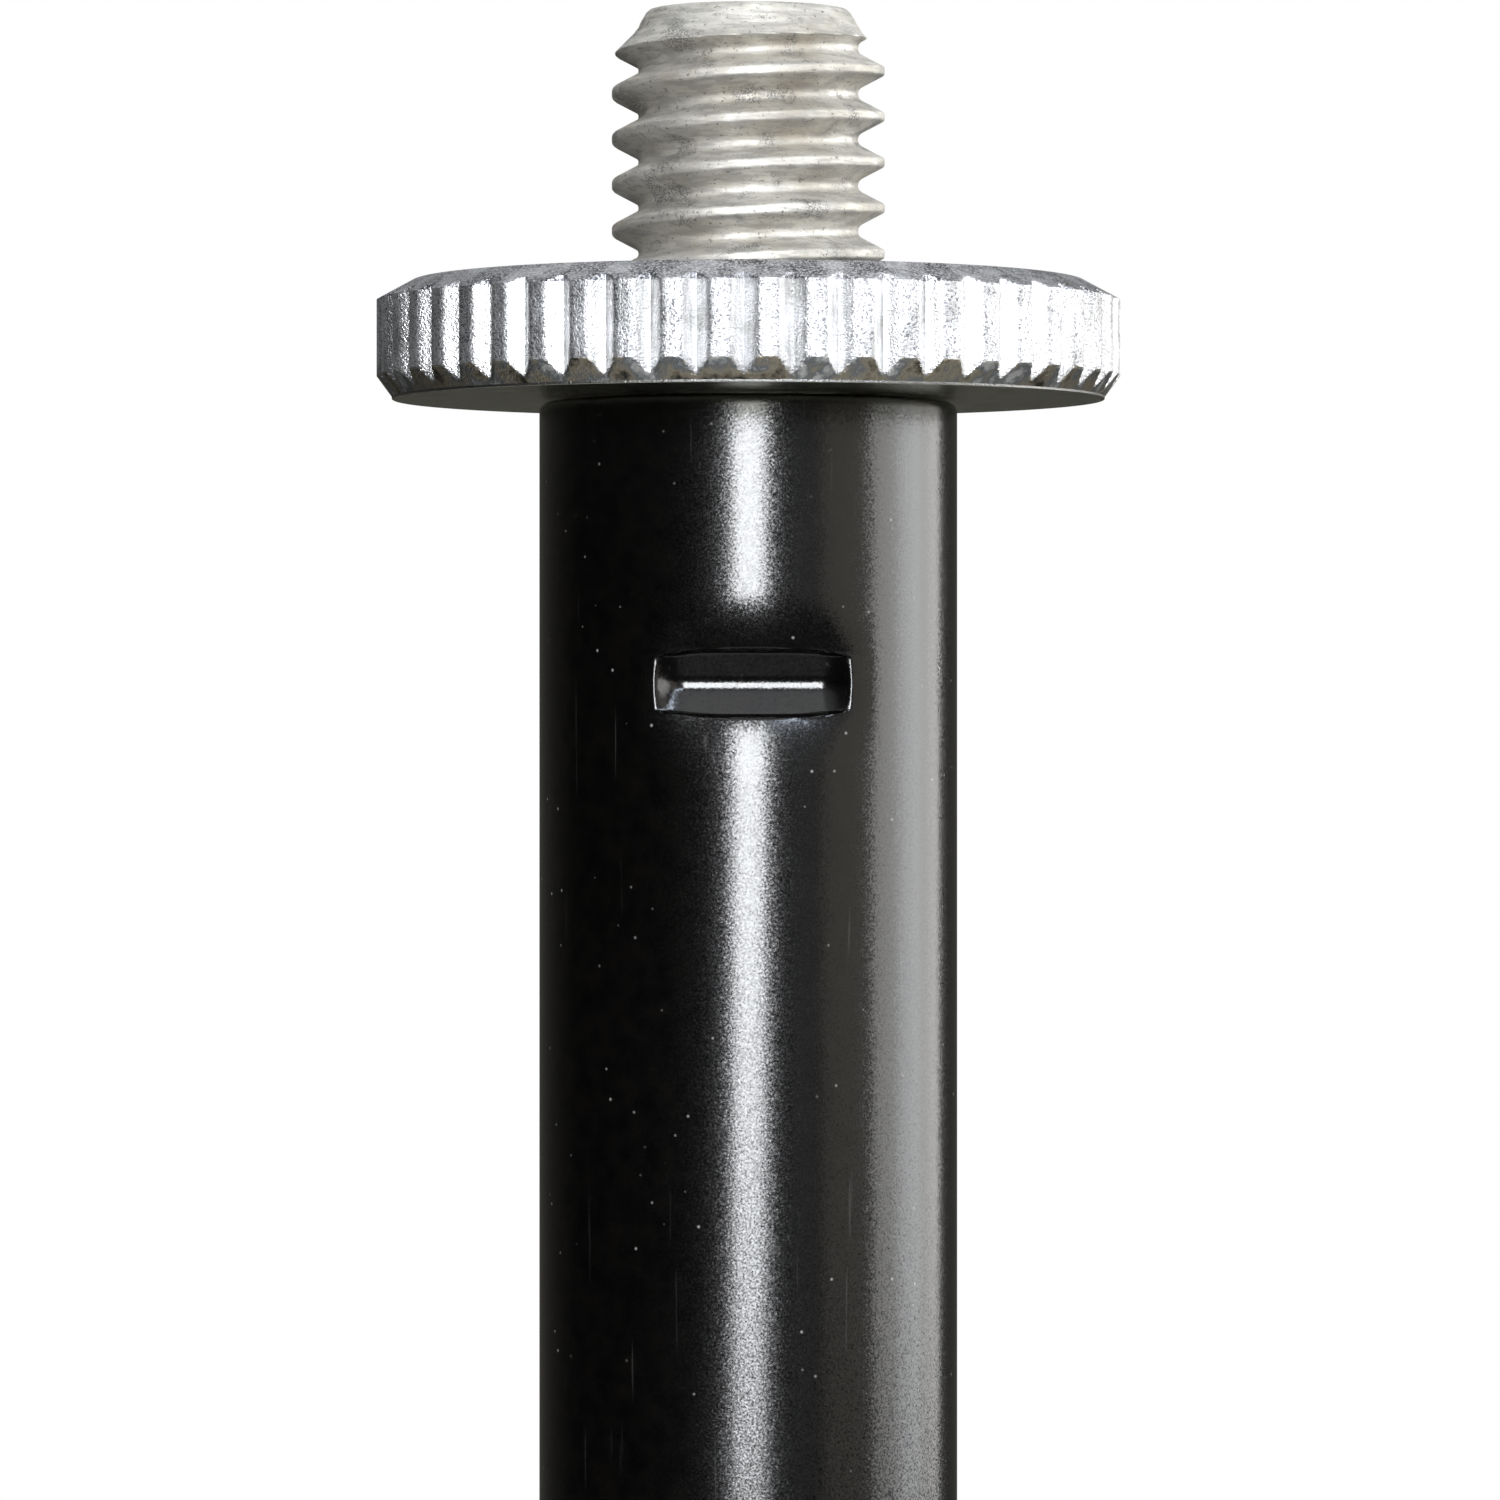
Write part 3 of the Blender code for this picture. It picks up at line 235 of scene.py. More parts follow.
class Shader:
    """A Principled material and short ways to add the nodes that feed it."""

    def __init__(self, name, color, roughness, metallic=0.0, specular=0.5):
        self.material = bpy.data.materials.new(name)
        self.material.use_nodes = True
        self.tree = self.material.node_tree
        self.out = self.tree.nodes["Principled BSDF"]
        self.out.inputs["Base Color"].default_value = (*color, 1.0)
        self.out.inputs["Roughness"].default_value = roughness
        self.out.inputs["Metallic"].default_value = metallic
        self.out.inputs["Specular IOR Level"].default_value = specular
        self.place = self.add("ShaderNodeTexCoord").outputs["Object"]

    def feed(self, socket, value):
        """Links a node's output to a socket, or sets the socket's own value or colour."""
        if isinstance(value, bpy.types.NodeSocket):
            self.tree.links.new(value, socket)
        elif isinstance(value, tuple):
            socket.default_value = (*value, 1.0)
        else:
            socket.default_value = value

    def add(self, kind, **inputs):
        node = self.tree.nodes.new(kind)
        for key, value in inputs.items():
            self.feed(node.inputs[key], value)
        return node

    def vector_math(self, kind, vector):
        node = self.add("ShaderNodeVectorMath", Vector=vector)
        node.operation = kind
        return node

    def noise(self, scale, detail=4.0, roughness=0.55, place=None):
        place = place or self.place
        sizes = {"Scale": scale, "Detail": detail, "Roughness": roughness}
        return self.add("ShaderNodeTexNoise", Vector=place, **sizes).outputs["Fac"]

    def stretched(self, x, y, z):
        """The surface's own coordinates, scaled differently along each axis."""
        node = self.add("ShaderNodeMapping", Vector=self.place)
        node.inputs["Scale"].default_value = (x, y, z)
        return node.outputs["Vector"]

    def ramp(self, value, stops):
        """A value or colour ramp. Each stop is (position, grey or colour)."""
        node = self.add("ShaderNodeValToRGB", Fac=value)
        points = node.color_ramp.elements
        while len(points) < len(stops):
            points.new(0.5)
        for point, (position, tone) in zip(points, stops):
            point.position = position
            point.color = (tone, tone, tone, 1.0) if isinstance(tone, float) else (*tone, 1.0)
        return node.outputs["Color"]

    def math(self, kind, first, second=0.0, third=0.0):
        node = self.tree.nodes.new("ShaderNodeMath")
        node.operation = kind
        for socket, value in zip(node.inputs, (first, second, third)):
            self.feed(socket, value)
        return node.outputs["Value"]

    def mix(self, share, first, second):
        """Mixes two colours. Sockets 0, 6 and 7 are the share and the two colours."""
        node = self.tree.nodes.new("ShaderNodeMix")
        node.data_type = "RGBA"
        for socket, value in ((0, share), (6, first), (7, second)):
            self.feed(node.inputs[socket], value)
        return node.outputs[2]

    def color(self, value):
        self.feed(self.out.inputs["Base Color"], value)

    def roughness(self, value):
        self.feed(self.out.inputs["Roughness"], value)

    def bump(self, height, strength, distance, below=None):
        """Sets the surface's bumps, on top of other bumps if there are any below."""
        node = self.add("ShaderNodeBump", Height=height, Strength=strength, Distance=distance)
        if below:
            self.feed(node.inputs["Normal"], below)
        self.feed(self.out.inputs["Normal"], node.outputs["Normal"])
        return node.outputs["Normal"]

    def grain(self, scale, tilt, below):
        """Tilts the surface at random in fine grains, as broad as they are high."""
        noise = self.add("ShaderNodeTexNoise", Scale=scale, Detail=1.0, Vector=self.place)
        spread = self.vector_math("MULTIPLY_ADD", noise.outputs["Color"])
        spread.inputs[1].default_value = (tilt, tilt, tilt)
        spread.inputs[2].default_value = (-tilt / 2, -tilt / 2, -tilt / 2)
        total = self.vector_math("ADD", below)
        self.feed(total.inputs[1], spread.outputs["Vector"])
        unit = self.vector_math("NORMALIZE", total.outputs["Vector"])
        self.feed(self.out.inputs["Normal"], unit.outputs["Vector"])


def powder_coat(name, grain=1.0):
    """Satin black powder coat: fine grain over orange peel, with dust specks and rub marks."""
    shader = Shader(name, (0.0015, 0.0015, 0.0015), 0.3)
    grain_fine = shader.noise(14000.0, 1.0, 0.5)
    peel = shader.noise(1400.0, 2.0, 0.5)
    specks = shader.add("ShaderNodeTexVoronoi", Scale=1250.0, Vector=shader.place)
    dust = shader.ramp(specks.outputs["Distance"], [(0.02, 1.0), (0.085, 0.0)])
    rare = shader.ramp(shader.noise(260.0, 1.0), [(0.42, 0.0), (0.54, 1.0)])
    dust = shader.math("MULTIPLY", dust, rare)
    rubbed = shader.noise(1.0, 2.0, 0.5, shader.stretched(5200.0, 5200.0, 150.0))
    rubbed = shader.ramp(rubbed, [(0.70, 0.0), (0.78, 1.0)])
    shade = shader.ramp(peel, [(0.3, (0.0004, 0.0004, 0.0004)), (0.7, (0.0014, 0.0012, 0.0010))])
    shade = shader.mix(rubbed, shade, (0.014, 0.014, 0.014))
    shader.color(shader.mix(dust, shade, (0.13, 0.125, 0.12)))
    shader.roughness(shader.ramp(grain_fine, [(0.25, 0.14), (0.75, 0.26)]))
    shader.grain(13000.0, 0.16 * grain, shader.bump(peel, 0.10 * grain, 0.04 * MM))
    return shader.material


def zinc(name, tint=(0.66, 0.665, 0.66), rough=0.52, metallic=1.0):
    """Zinc plating: cloudy, with a fine grain, streaks round the axis and small dark pits."""
    shader = Shader(name, tint, rough, metallic)
    cloud = shader.noise(420.0, 5.0, 0.6)
    streaks = shader.noise(1.0, 4.0, 0.6, shader.stretched(900.0, 900.0, 5200.0))
    pits = shader.noise(6500.0, 2.0, 0.7)
    warm = tuple(c * f for c, f in zip(tint, (0.80, 0.76, 0.69)))
    pale = tuple(min(1.0, c * 1.15) for c in tint)
    tone = shader.ramp(cloud, [(0.3, warm), (0.62, pale)])
    streak = tuple(c * 0.6 for c in tint)
    tone = shader.mix(shader.ramp(streaks, [(0.42, 0.6), (0.56, 0.0)]), tone, streak)
    stained = shader.ramp(shader.noise(520.0, 3.0, 0.6), [(0.56, 0.0), (0.64, 1.0)])
    grains = shader.ramp(shader.noise(15000.0, 1.0), [(0.45, 0.7), (0.55, 0.0)])
    stained = shader.math("MULTIPLY", stained, grains)
    tone = shader.mix(stained, tone, (0.12, 0.12, 0.115))
    tone = shader.mix(shader.ramp(pits, [(0.30, 0.8), (0.38, 0.0)]), tone, (0.10, 0.10, 0.09))
    shader.color(tone)
    shader.roughness(shader.ramp(cloud, [(0.3, rough + 0.08), (0.7, rough - 0.08)]))
    first = shader.bump(streaks, 0.35, 0.08 * MM)
    shader.bump(pits, 0.4, 0.03 * MM, first)
    return shader.material


def nut_zinc(name):
    """Knurled zinc: sparkling grain on the crests, dull metal low on the nut with a mottle of
    painted reflection and shade, and painted shade on the top chamfer.
    """
    shader = Shader(name, (0.84, 0.84, 0.85), 0.34, 1.0)
    centered = shader.vector_math("SUBTRACT", shader.place)
    centered.inputs[1].default_value = (AXIS.x, AXIS.y, NUT_LOW)
    split = shader.add("ShaderNodeSeparateXYZ", Vector=centered.outputs["Vector"]).outputs
    x2 = shader.math("MULTIPLY", split["X"], split["X"])
    y2 = shader.math("MULTIPLY", split["Y"], split["Y"])
    radius = shader.math("SQRT", shader.math("ADD", x2, y2))
    height = split["Z"]
    slope = -BOTTOM_WIDTH / BOTTOM_HEIGHT
    cone = shader.math("MULTIPLY_ADD", height, slope, BOTTOM_WIDTH - NUT_RADIUS)
    above_cone = shader.math("ADD", radius, cone)
    on_cone = shader.math("GREATER_THAN", above_cone, -0.02 * MM)
    below_rim = shader.math("LESS_THAN", height, BOTTOM_HEIGHT * 1.01)
    above_land = shader.math("GREATER_THAN", height, RIM_LAND)
    low = shader.math("MULTIPLY", shader.math("MULTIPLY", on_cone, below_rim), above_land)
    underneath = shader.math("LESS_THAN", height, 0.01 * MM)
    high = shader.math("GREATER_THAN", height, NUT_HEIGHT - TOP_HEIGHT * 1.02)
    crest = shader.math("GREATER_THAN", radius, NUT_RADIUS - 0.05 * MM)
    cloud = shader.noise(900.0, 4.0, 0.6)
    specks = shader.noise(11000.0, 2.0, 0.7)
    drawn = shader.noise(1.0, 3.0, 0.6, shader.stretched(6000.0, 6000.0, 420.0))
    groove = shader.ramp(cloud, [(0.35, (0.52, 0.52, 0.51)), (0.55, (0.70, 0.70, 0.71))])
    groove = shader.mix(shader.ramp(drawn, [(0.40, 0.5), (0.52, 0.0)]), groove, (0.34, 0.34, 0.34))
    crown = shader.ramp(cloud, [(0.38, (0.42, 0.42, 0.42)), (0.60, (0.66, 0.66, 0.67))])
    crown = shader.mix(shader.ramp(specks, [(0.38, 0.8), (0.47, 0.0)]), crown, (0.09, 0.09, 0.11))
    # Painted shade: the top chamfer is darkened, with bright specks left in it.
    top_painted_shade = shader.ramp(cloud, [(0.40, (0.06, 0.06, 0.07)), (0.62, (0.46, 0.46, 0.48))])
    top_painted_shade = shader.mix(shader.ramp(specks, [(0.45, 0.0), (0.62, 0.8)]), top_painted_shade, (0.75, 0.75, 0.76))
    # Painted reflection and shade: the lower chamfer gets a dark, olive and bluish mottle that
    # stands in for what it mirrors.
    low_painted_reflection = [
        (0.34, (0.06, 0.06, 0.05)),
        (0.46, (0.46, 0.41, 0.31)),
        (0.56, (0.26, 0.28, 0.29)),
        (0.66, (0.80, 0.80, 0.77)),
    ]
    low_painted_reflection = shader.ramp(cloud, low_painted_reflection)
    below = shader.ramp(cloud, [(0.35, (0.66, 0.66, 0.52)), (0.60, (0.92, 0.92, 0.74))])
    sides = shader.mix(above_land, (0.17, 0.17, 0.165), shader.mix(crest, groove, crown))
    sides_and_top = shader.mix(high, sides, top_painted_shade)
    shader.color(shader.mix(underneath, shader.mix(low, sides_and_top, low_painted_reflection), below))
    rough = shader.mix(crest, (0.38, 0.38, 0.38), (0.50, 0.50, 0.50))
    shader.roughness(shader.mix(underneath, rough, (0.16, 0.16, 0.16)))
    first = shader.bump(specks, 0.8, 0.05 * MM)
    shader.bump(shader.noise(3500.0, 3.0, 0.6), 0.35, 0.04 * MM, first)
    return shader.material


def nylon(name, color=(0.005, 0.005, 0.0055)):
    """Moulded plastic with a fine spark-eroded texture."""
    shader = Shader(name, color, 0.5, specular=0.35)
    texture = shader.noise(2600.0, 3.0, 0.6)
    cloud = shader.noise(60.0, 2.0)
    darker = tuple(c * 0.8 for c in color)
    shader.color(shader.mix(cloud, darker, color))
    shader.roughness(shader.ramp(texture, [(0.3, 0.42), (0.7, 0.60)]))
    shader.bump(texture, 0.25, 0.05 * MM)
    return shader.material


def rubber(name):
    """Matt moulded rubber with a dusty bloom."""
    shader = Shader(name, (0.010, 0.010, 0.010), 0.75, specular=0.25)
    bloom = shader.noise(90.0, 5.0, 0.6)
    texture = shader.noise(1800.0, 2.0, 0.5)
    shade = [(0.35, (0.005, 0.005, 0.005)), (0.75, (0.012, 0.0118, 0.0115))]
    shader.color(shader.ramp(bloom, shade))
    shader.roughness(shader.ramp(bloom, [(0.3, 0.66), (0.7, 0.85)]))
    shader.bump(texture, 0.3, 0.06 * MM)
    return shader.material


TUBE_PAINT = powder_coat("tube_powder_coat")
HUB_PAINT = powder_coat("casting_powder_coat", 1.6)
STUD_ZINC = zinc("stud_zinc", (0.48, 0.468, 0.435), 0.63, 0.87)
NUT_ZINC = nut_zinc("nut_zinc")
STEEL = zinc("plain_steel", (0.52, 0.52, 0.53))
BLACK_NYLON = nylon("black_nylon")
NATURAL_NYLON = nylon("natural_nylon", (0.72, 0.70, 0.64))
RUBBER = rubber("foot_rubber")

NODE_MATERIALS = {
    "hub": HUB_PAINT,
    "hub_cap": BLACK_NYLON,
    "hub_bolt": STEEL,
    "hub_washer": STEEL,
    "lower_tube": TUBE_PAINT,
    "column_plug": STEEL,
    "clutch_body": HUB_PAINT,
    "clutch_collet": NATURAL_NYLON,
    "clutch_sleeve": BLACK_NYLON,
    "guide_ring": BLACK_NYLON,
    "guide_bush": NATURAL_NYLON,
    "upper_tube": TUBE_PAINT,
    "threaded_stud": STUD_ZINC,
    "lock_nut": NUT_ZINC,
    "leg_pin": STEEL,
    "leg_root": HUB_PAINT,
    "leg_tube": TUBE_PAINT,
    "foot": RUBBER,
}


def dress_nodes():
    """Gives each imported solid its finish. The legs' nodes have names that end in a number."""
    for name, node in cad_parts.items():
        material = NODE_MATERIALS.get(name) or NODE_MATERIALS[name[:-2]]
        node.data.materials.clear()
        node.data.materials.append(material)


# Threaded stud

THREAD_RADIUS = 4.7625 * MM
THREAD_PITCH = 1.5875 * MM
THREAD_DEPTH = 0.95 * MM
CREST_HALF = 0.06 * MM
CREST_ROUNDING = 0.12 * MM
ROOT_ROUNDING = 0.27 * MM
FLANK_TURN = math.radians(60)
CREST_HEIGHT = -0.39 * MM
# Radius at distances below the flat end
STUD_END = [
    (3.45 * MM, 0.0),
    (3.56 * MM, 0.10 * MM),
    (3.97 * MM, 0.80 * MM),
    (4.80 * MM, 1.62 * MM),
]
STUD_END_BLEND = 0.1 * MM
STUD_SIDES = 144
STUD_STEP = 0.05 * MM
SHANK_RADIUS = 6.05 * MM
SHANK_LENGTH = 24.0 * MM
SHANK_CHAMFER = 0.8 * MM
GROOVE_RADIUS = 4.5 * MM
GROOVE_CENTER = -9.9 * MM
GROOVE_HALF = 2.3 * MM
GROOVE_FLOOR_HALF = 1.3 * MM


def thread_depth(offset):
    """Depth below the crest at a distance along the axis from the crest's middle."""
    crest_end = CREST_HALF + CREST_ROUNDING * math.sin(FLANK_TURN)
    root_start = THREAD_PITCH / 2 - ROOT_ROUNDING * math.sin(FLANK_TURN)
    if offset < crest_end:
        over = max(0.0, offset - CREST_HALF)
        return CREST_ROUNDING - math.sqrt(CREST_ROUNDING**2 - over**2)
    if offset > root_start:
        rest = THREAD_PITCH / 2 - offset
        return THREAD_DEPTH - ROOT_ROUNDING + math.sqrt(ROOT_ROUNDING**2 - rest**2)
    first = CREST_ROUNDING * (1 - math.cos(FLANK_TURN))
    last = THREAD_DEPTH - ROOT_ROUNDING * (1 - math.cos(FLANK_TURN))
    return first + (last - first) * (offset - crest_end) / (root_start - crest_end)


def end_radius(below):
    """Radius of the stud's rounded-off end at a distance below its flat face."""
    for (r0, b0), (r1, b1) in zip(STUD_END, STUD_END[1:]):
        if below <= b1:
            return r0 + (r1 - r0) * (below - b0) / (b1 - b0)
    return THREAD_RADIUS


def stud_ring(z, angles):
    """Points of the thread's surface at a height above the tube's end."""
    limit = end_radius(STUD_TOP - TUBE_TOP - z)
    ring = []
    for angle in angles:
        turns = (z - CREST_HEIGHT) / THREAD_PITCH - (angle - math.pi) / (2 * math.pi)
        offset = abs(turns - round(turns)) * THREAD_PITCH
        radius = smooth_min(THREAD_RADIUS - thread_depth(offset), limit, STUD_END_BLEND)
        ring.append(around(radius, angle, TUBE_TOP + z))
    return ring


def build_stud():
    """A plain shank with a groove for the crimps, inside the tube, and the thread above it."""
    angles = full_turn(STUD_SIDES)
    shank = [
        (SHANK_RADIUS - SHANK_CHAMFER, -SHANK_LENGTH),
        (SHANK_RADIUS, SHANK_CHAMFER - SHANK_LENGTH),
        (SHANK_RADIUS, GROOVE_CENTER - GROOVE_HALF),
        (GROOVE_RADIUS, GROOVE_CENTER - GROOVE_FLOOR_HALF),
        (GROOVE_RADIUS, GROOVE_CENTER + GROOVE_FLOOR_HALF),
        (SHANK_RADIUS, GROOVE_CENTER + GROOVE_HALF),
        (SHANK_RADIUS, 0.0),
    ]
    rings = [circle(radius, TUBE_TOP + z, angles) for radius, z in shank]
    rings += [stud_ring(z, angles) for z in spaced(0.0, STUD_TOP - TUBE_TOP, STUD_STEP)]
    mesh = rings_mesh("stud", rings)
    add_piece("stud", mesh, STUD_ZINC, "extension", ["threaded_stud"])


# Lock nut

SIDES_PER_KNURL = 12
BOTTOM_STEP = 0.06 * MM
SIDE_STEP = 0.5 * MM
TOP_STEP = 0.05 * MM


def knurl_depth(angle):
    """Depth of the knurl at an angle round the nut: a groove with a rounded floor."""
    pitch = 2 * math.pi / KNURLS
    turn = (angle - KNURL_PHASE) / pitch
    away = abs(turn - round(turn)) * pitch * NUT_RADIUS / (KNURL_WIDTH / 2)
    if away >= 1.0:
        return 0.0
    return KNURL_DEPTH * (1.0 - away**KNURL_ROUNDNESS)


def nut_envelope(z):
    """Radius of the plain nut with its two chamfers at a height above its underside."""
    low = NUT_RADIUS - BOTTOM_WIDTH * max(0.0, 1 - max(z, RIM_LAND) / BOTTOM_HEIGHT)
    high = NUT_RADIUS - TOP_WIDTH * max(0.0, 1 - (NUT_HEIGHT - z) / TOP_HEIGHT)
    return min(low, high)


def build_nut():
    """Follows the nut from its bore's lower edge, up outside, and back over its top."""
    angles = full_turn(KNURLS * SIDES_PER_KNURL, KNURL_PHASE)

    def plain(radius, z):
        return circle(radius, NUT_LOW + z, angles)

    def knurled(z, inset=0.0):
        edge = nut_envelope(z) - inset
        radii = [min(edge, NUT_RADIUS - knurl_depth(angle)) for angle in angles]
        return [around(radius, angle, NUT_LOW + z) for radius, angle in zip(radii, angles)]

    heights = [RIM_ROUNDING, *spaced(RIM_LAND, BOTTOM_HEIGHT, BOTTOM_STEP)]
    heights += spaced(BOTTOM_HEIGHT, NUT_HEIGHT - TOP_HEIGHT, SIDE_STEP)[1:]
    heights += spaced(NUT_HEIGHT - TOP_HEIGHT, NUT_HEIGHT, TOP_STEP)[1:-1]
    rings = [
        plain(NUT_BORE, BORE_CHAMFER_LOW),
        plain(NUT_BORE + BORE_CHAMFER_LOW, 0.0),
        knurled(0.0, RIM_ROUNDING),
        *(knurled(z) for z in heights),
        knurled(NUT_HEIGHT - TOP_EDGE),
        plain(NUT_RADIUS - TOP_WIDTH - RIM_ROUNDING, NUT_HEIGHT),
        plain(NUT_BORE + BORE_CHAMFER_HIGH, NUT_HEIGHT),
        plain(NUT_BORE, NUT_HEIGHT - BORE_CHAMFER_HIGH),
    ]
    mesh = rings_mesh("nut", rings, bored=True)
    add_piece("nut", mesh, NUT_ZINC, "nut", ["lock_nut"])


# Extension tube with its crimps

BORE_RADIUS = 6.25 * MM
EDGE_ROUNDING = 0.35 * MM
EDGE_STEPS = 5
CRIMP_CENTER = -9.8 * MM
CRIMP_TURNS = [math.radians(-88.6), math.radians(91.4)]
CRIMP_HALF_WIDTH = 3.38 * MM
CRIMP_FLOOR_HALF_WIDTH = 2.6 * MM
CRIMP_HALF_HEIGHT = 1.20 * MM
CRIMP_END_LOSS = 0.22 * MM
CRIMP_END_START = 3.4 * MM
CRIMP_END_BULGE = 0.06 * MM
CRIMP_END_ROUNDING = 0.4
CRIMP_LIP = 0.13 * MM
CRIMP_LIP_DEPTH = 0.95 * MM
CRIMP_DEPTH = 1.45 * MM
CRIMP_BLEND = 0.25 * MM
CREASE_ROUNDING = 0.27 * MM
DISH_DEPTH = 0.30 * MM
DISH_REACH = 2.1 * MM
DISH_INNER = 1.4 * MM
DISH_OUTER = 4.35 * MM
LIP_ROUNDING = 0.34 * MM
END_LIP_ROUNDING = 0.08 * MM
# How far the press moves the wall, up or down and across
CRIMP_REACH = CRIMP_HALF_HEIGHT + DISH_REACH + 0.2 * MM
CRIMP_SPAN = 1.3 * CRIMP_HALF_WIDTH
# Spacing of the wall's points, finer at a crimp and a margin beside it
CRIMP_MARGIN = math.radians(3.0)
FINE_TURN = math.radians(0.33)
COARSE_TURN = math.radians(2.5)
FINE_STEP = 0.045 * MM
COARSE_STEP = 0.15 * MM


def crimp_half_height(across):
    """Half the height of the pocket's mouth, which narrows towards its ends."""
    return CRIMP_HALF_HEIGHT - CRIMP_END_LOSS * min(abs(across) / CRIMP_END_START, 1.0) ** 4


def crimp_depth(across, up):
    """Depth of the pressed pocket below the plane that touches the tube there."""
    half = crimp_half_height(across)
    lip = (half - abs(up)) / CRIMP_LIP * CRIMP_LIP_DEPTH
    slope = (CRIMP_DEPTH - CRIMP_LIP_DEPTH) / (CRIMP_HALF_HEIGHT - CRIMP_LIP)
    rise = abs(up) - CREASE_ROUNDING / 2
    if abs(up) < CREASE_ROUNDING:
        rise = up**2 / (2 * CREASE_ROUNDING)
    floor = CRIMP_DEPTH - slope * rise
    width = CRIMP_HALF_WIDTH - CRIMP_END_BULGE * (up / CRIMP_HALF_HEIGHT) ** 2
    mouth = TUBE_RADIUS - math.sqrt(TUBE_RADIUS**2 - width**2)
    share = (abs(across) - CRIMP_FLOOR_HALF_WIDTH) / (width - CRIMP_FLOOR_HALF_WIDTH)
    if abs(share) < CRIMP_END_ROUNDING:
        share = (share + CRIMP_END_ROUNDING) ** 2 / (4 * CRIMP_END_ROUNDING)
    floor += (mouth - floor) * max(share, 0.0)
    return smooth_min(lip, floor, CRIMP_BLEND)


def dish_depth(across, up):
    """The shallow hollow that the press leaves round the pocket."""
    above = max(abs(up) - crimp_half_height(across), 0.0)
    share = eased((DISH_OUTER - abs(across)) / (DISH_OUTER - DISH_INNER))
    return DISH_DEPTH * share * max(0.0, 1 - above / DISH_REACH) ** 2


def lip_rounding(across):
    """The mouth's edge is tighter at the pocket's two ends."""
    end_width = CRIMP_HALF_WIDTH - CRIMP_FLOOR_HALF_WIDTH
    share = clamped((abs(across) - CRIMP_FLOOR_HALF_WIDTH) / end_width)
    return LIP_ROUNDING + (END_LIP_ROUNDING - LIP_ROUNDING) * share


def along_pocket(across, up):
    """Moves a row of points so that rows near the pocket follow its curved mouth."""
    half = crimp_half_height(across)
    if abs(up) <= CRIMP_HALF_HEIGHT:
        return up * half / CRIMP_HALF_HEIGHT
    rest = (CRIMP_REACH - half) / (CRIMP_REACH - CRIMP_HALF_HEIGHT)
    return math.copysign(half + (abs(up) - CRIMP_HALF_HEIGHT) * rest, up)


def tube_point(angle, z, radius):
    """A point of the tube's wall, outside or inside, pressed in where a crimp is."""
    x = radius * math.cos(angle)
    y = radius * math.sin(angle)
    for turn in CRIMP_TURNS:
        forward = x * math.cos(turn) + y * math.sin(turn)
        across = y * math.cos(turn) - x * math.sin(turn)
        up = z - CRIMP_CENTER
        if forward <= 0 or abs(across) > CRIMP_SPAN or abs(up) > CRIMP_REACH:
            continue
        up = along_pocket(across, up)
        z = CRIMP_CENTER + up
        dished = forward - dish_depth(across, up)
        pressed = radius - crimp_depth(across, up)
        moved = smooth_min(dished, pressed, lip_rounding(across)) - forward
        x += moved * math.cos(turn)
        y += moved * math.sin(turn)
    return (AXIS.x + x, AXIS.y + y, TUBE_TOP + z)


def tube_angles():
    """Angles round the tube, close together where the crimps are."""
    half = math.asin(CRIMP_HALF_WIDTH / TUBE_RADIUS) + CRIMP_MARGIN
    angles = []
    for turn in CRIMP_TURNS:
        fine = spaced(turn - half, turn + half, FINE_TURN)
        coarse = spaced(turn + half, turn + math.pi - half, COARSE_TURN)
        angles += fine + coarse[1:-1]
    return angles


def build_tube():
    """Follows the wall up outside, over the rounded edge, and down inside."""
    length = tube_high.z - tube_low.z
    angles = tube_angles()
    near = CRIMP_HALF_HEIGHT + COARSE_STEP
    heights = spaced(CRIMP_CENTER - CRIMP_REACH, CRIMP_CENTER - near, COARSE_STEP)
    heights += spaced(CRIMP_CENTER - near, CRIMP_CENTER + near, FINE_STEP)[1:]
    heights += spaced(CRIMP_CENTER + near, CRIMP_CENTER + CRIMP_REACH, COARSE_STEP)[1:]
    line = [(TUBE_RADIUS, z) for z in (-length, *heights, -EDGE_ROUNDING)]
    for i in range(1, EDGE_STEPS + 1):
        turn = math.pi / 2 * i / EDGE_STEPS
        radius = TUBE_RADIUS - EDGE_ROUNDING * (1 - math.cos(turn))
        line.append((radius, -EDGE_ROUNDING * (1 - math.sin(turn))))
    line += [(BORE_RADIUS, z) for z in (0.0, *reversed(heights), -length)]
    rings = [[tube_point(angle, z, radius) for angle in angles] for radius, z in line]
    mesh = rings_mesh("extension_tube", rings, bored=True)
    add_piece("extension_tube", mesh, TUBE_PAINT, "extension", ["upper_tube"])


# Column and clutch

COLUMN_RADIUS = 10.0 * MM
COLUMN_WALL = 1.5 * MM
SKIRT_RADIUS = 13.4 * MM
SKIRT_LENGTH = 38.0 * MM
SKIRT_GROOVES = [3.5 * MM, 6.5 * MM, 9.5 * MM, 12.5 * MM]
SKIRT_GROOVE_HALF = 0.7 * MM
SKIRT_GROOVE_DEPTH = 0.45 * MM
FLANGE_RADIUS = 16.8 * MM
FLANGE_HEIGHT = 4.2 * MM
FLANGE_BELOW = 12.0 * MM
NOSE_RADIUS = 12.6 * MM
NOSE_TOP = 24.0 * MM
SHOULDER = 4.0 * MM
THROAT_RADIUS = 7.75 * MM
SEAT_LOW_RADIUS = 8.8 * MM
SEAT_HIGH_RADIUS = 11.2 * MM
GRIP_RADIUS = 17.8 * MM
GRIP_TOP_RADIUS = 13.8 * MM
GRIP_TOP = 33.5 * MM
GRIP_TAPER = 8.5 * MM
GRIP_RIM = 3.0 * MM
GRIP_CEILING = 27.5 * MM
GRIP_ROUNDING = 1.0 * MM
FLUTES = 12
FLUTE_DEPTH = 1.1 * MM
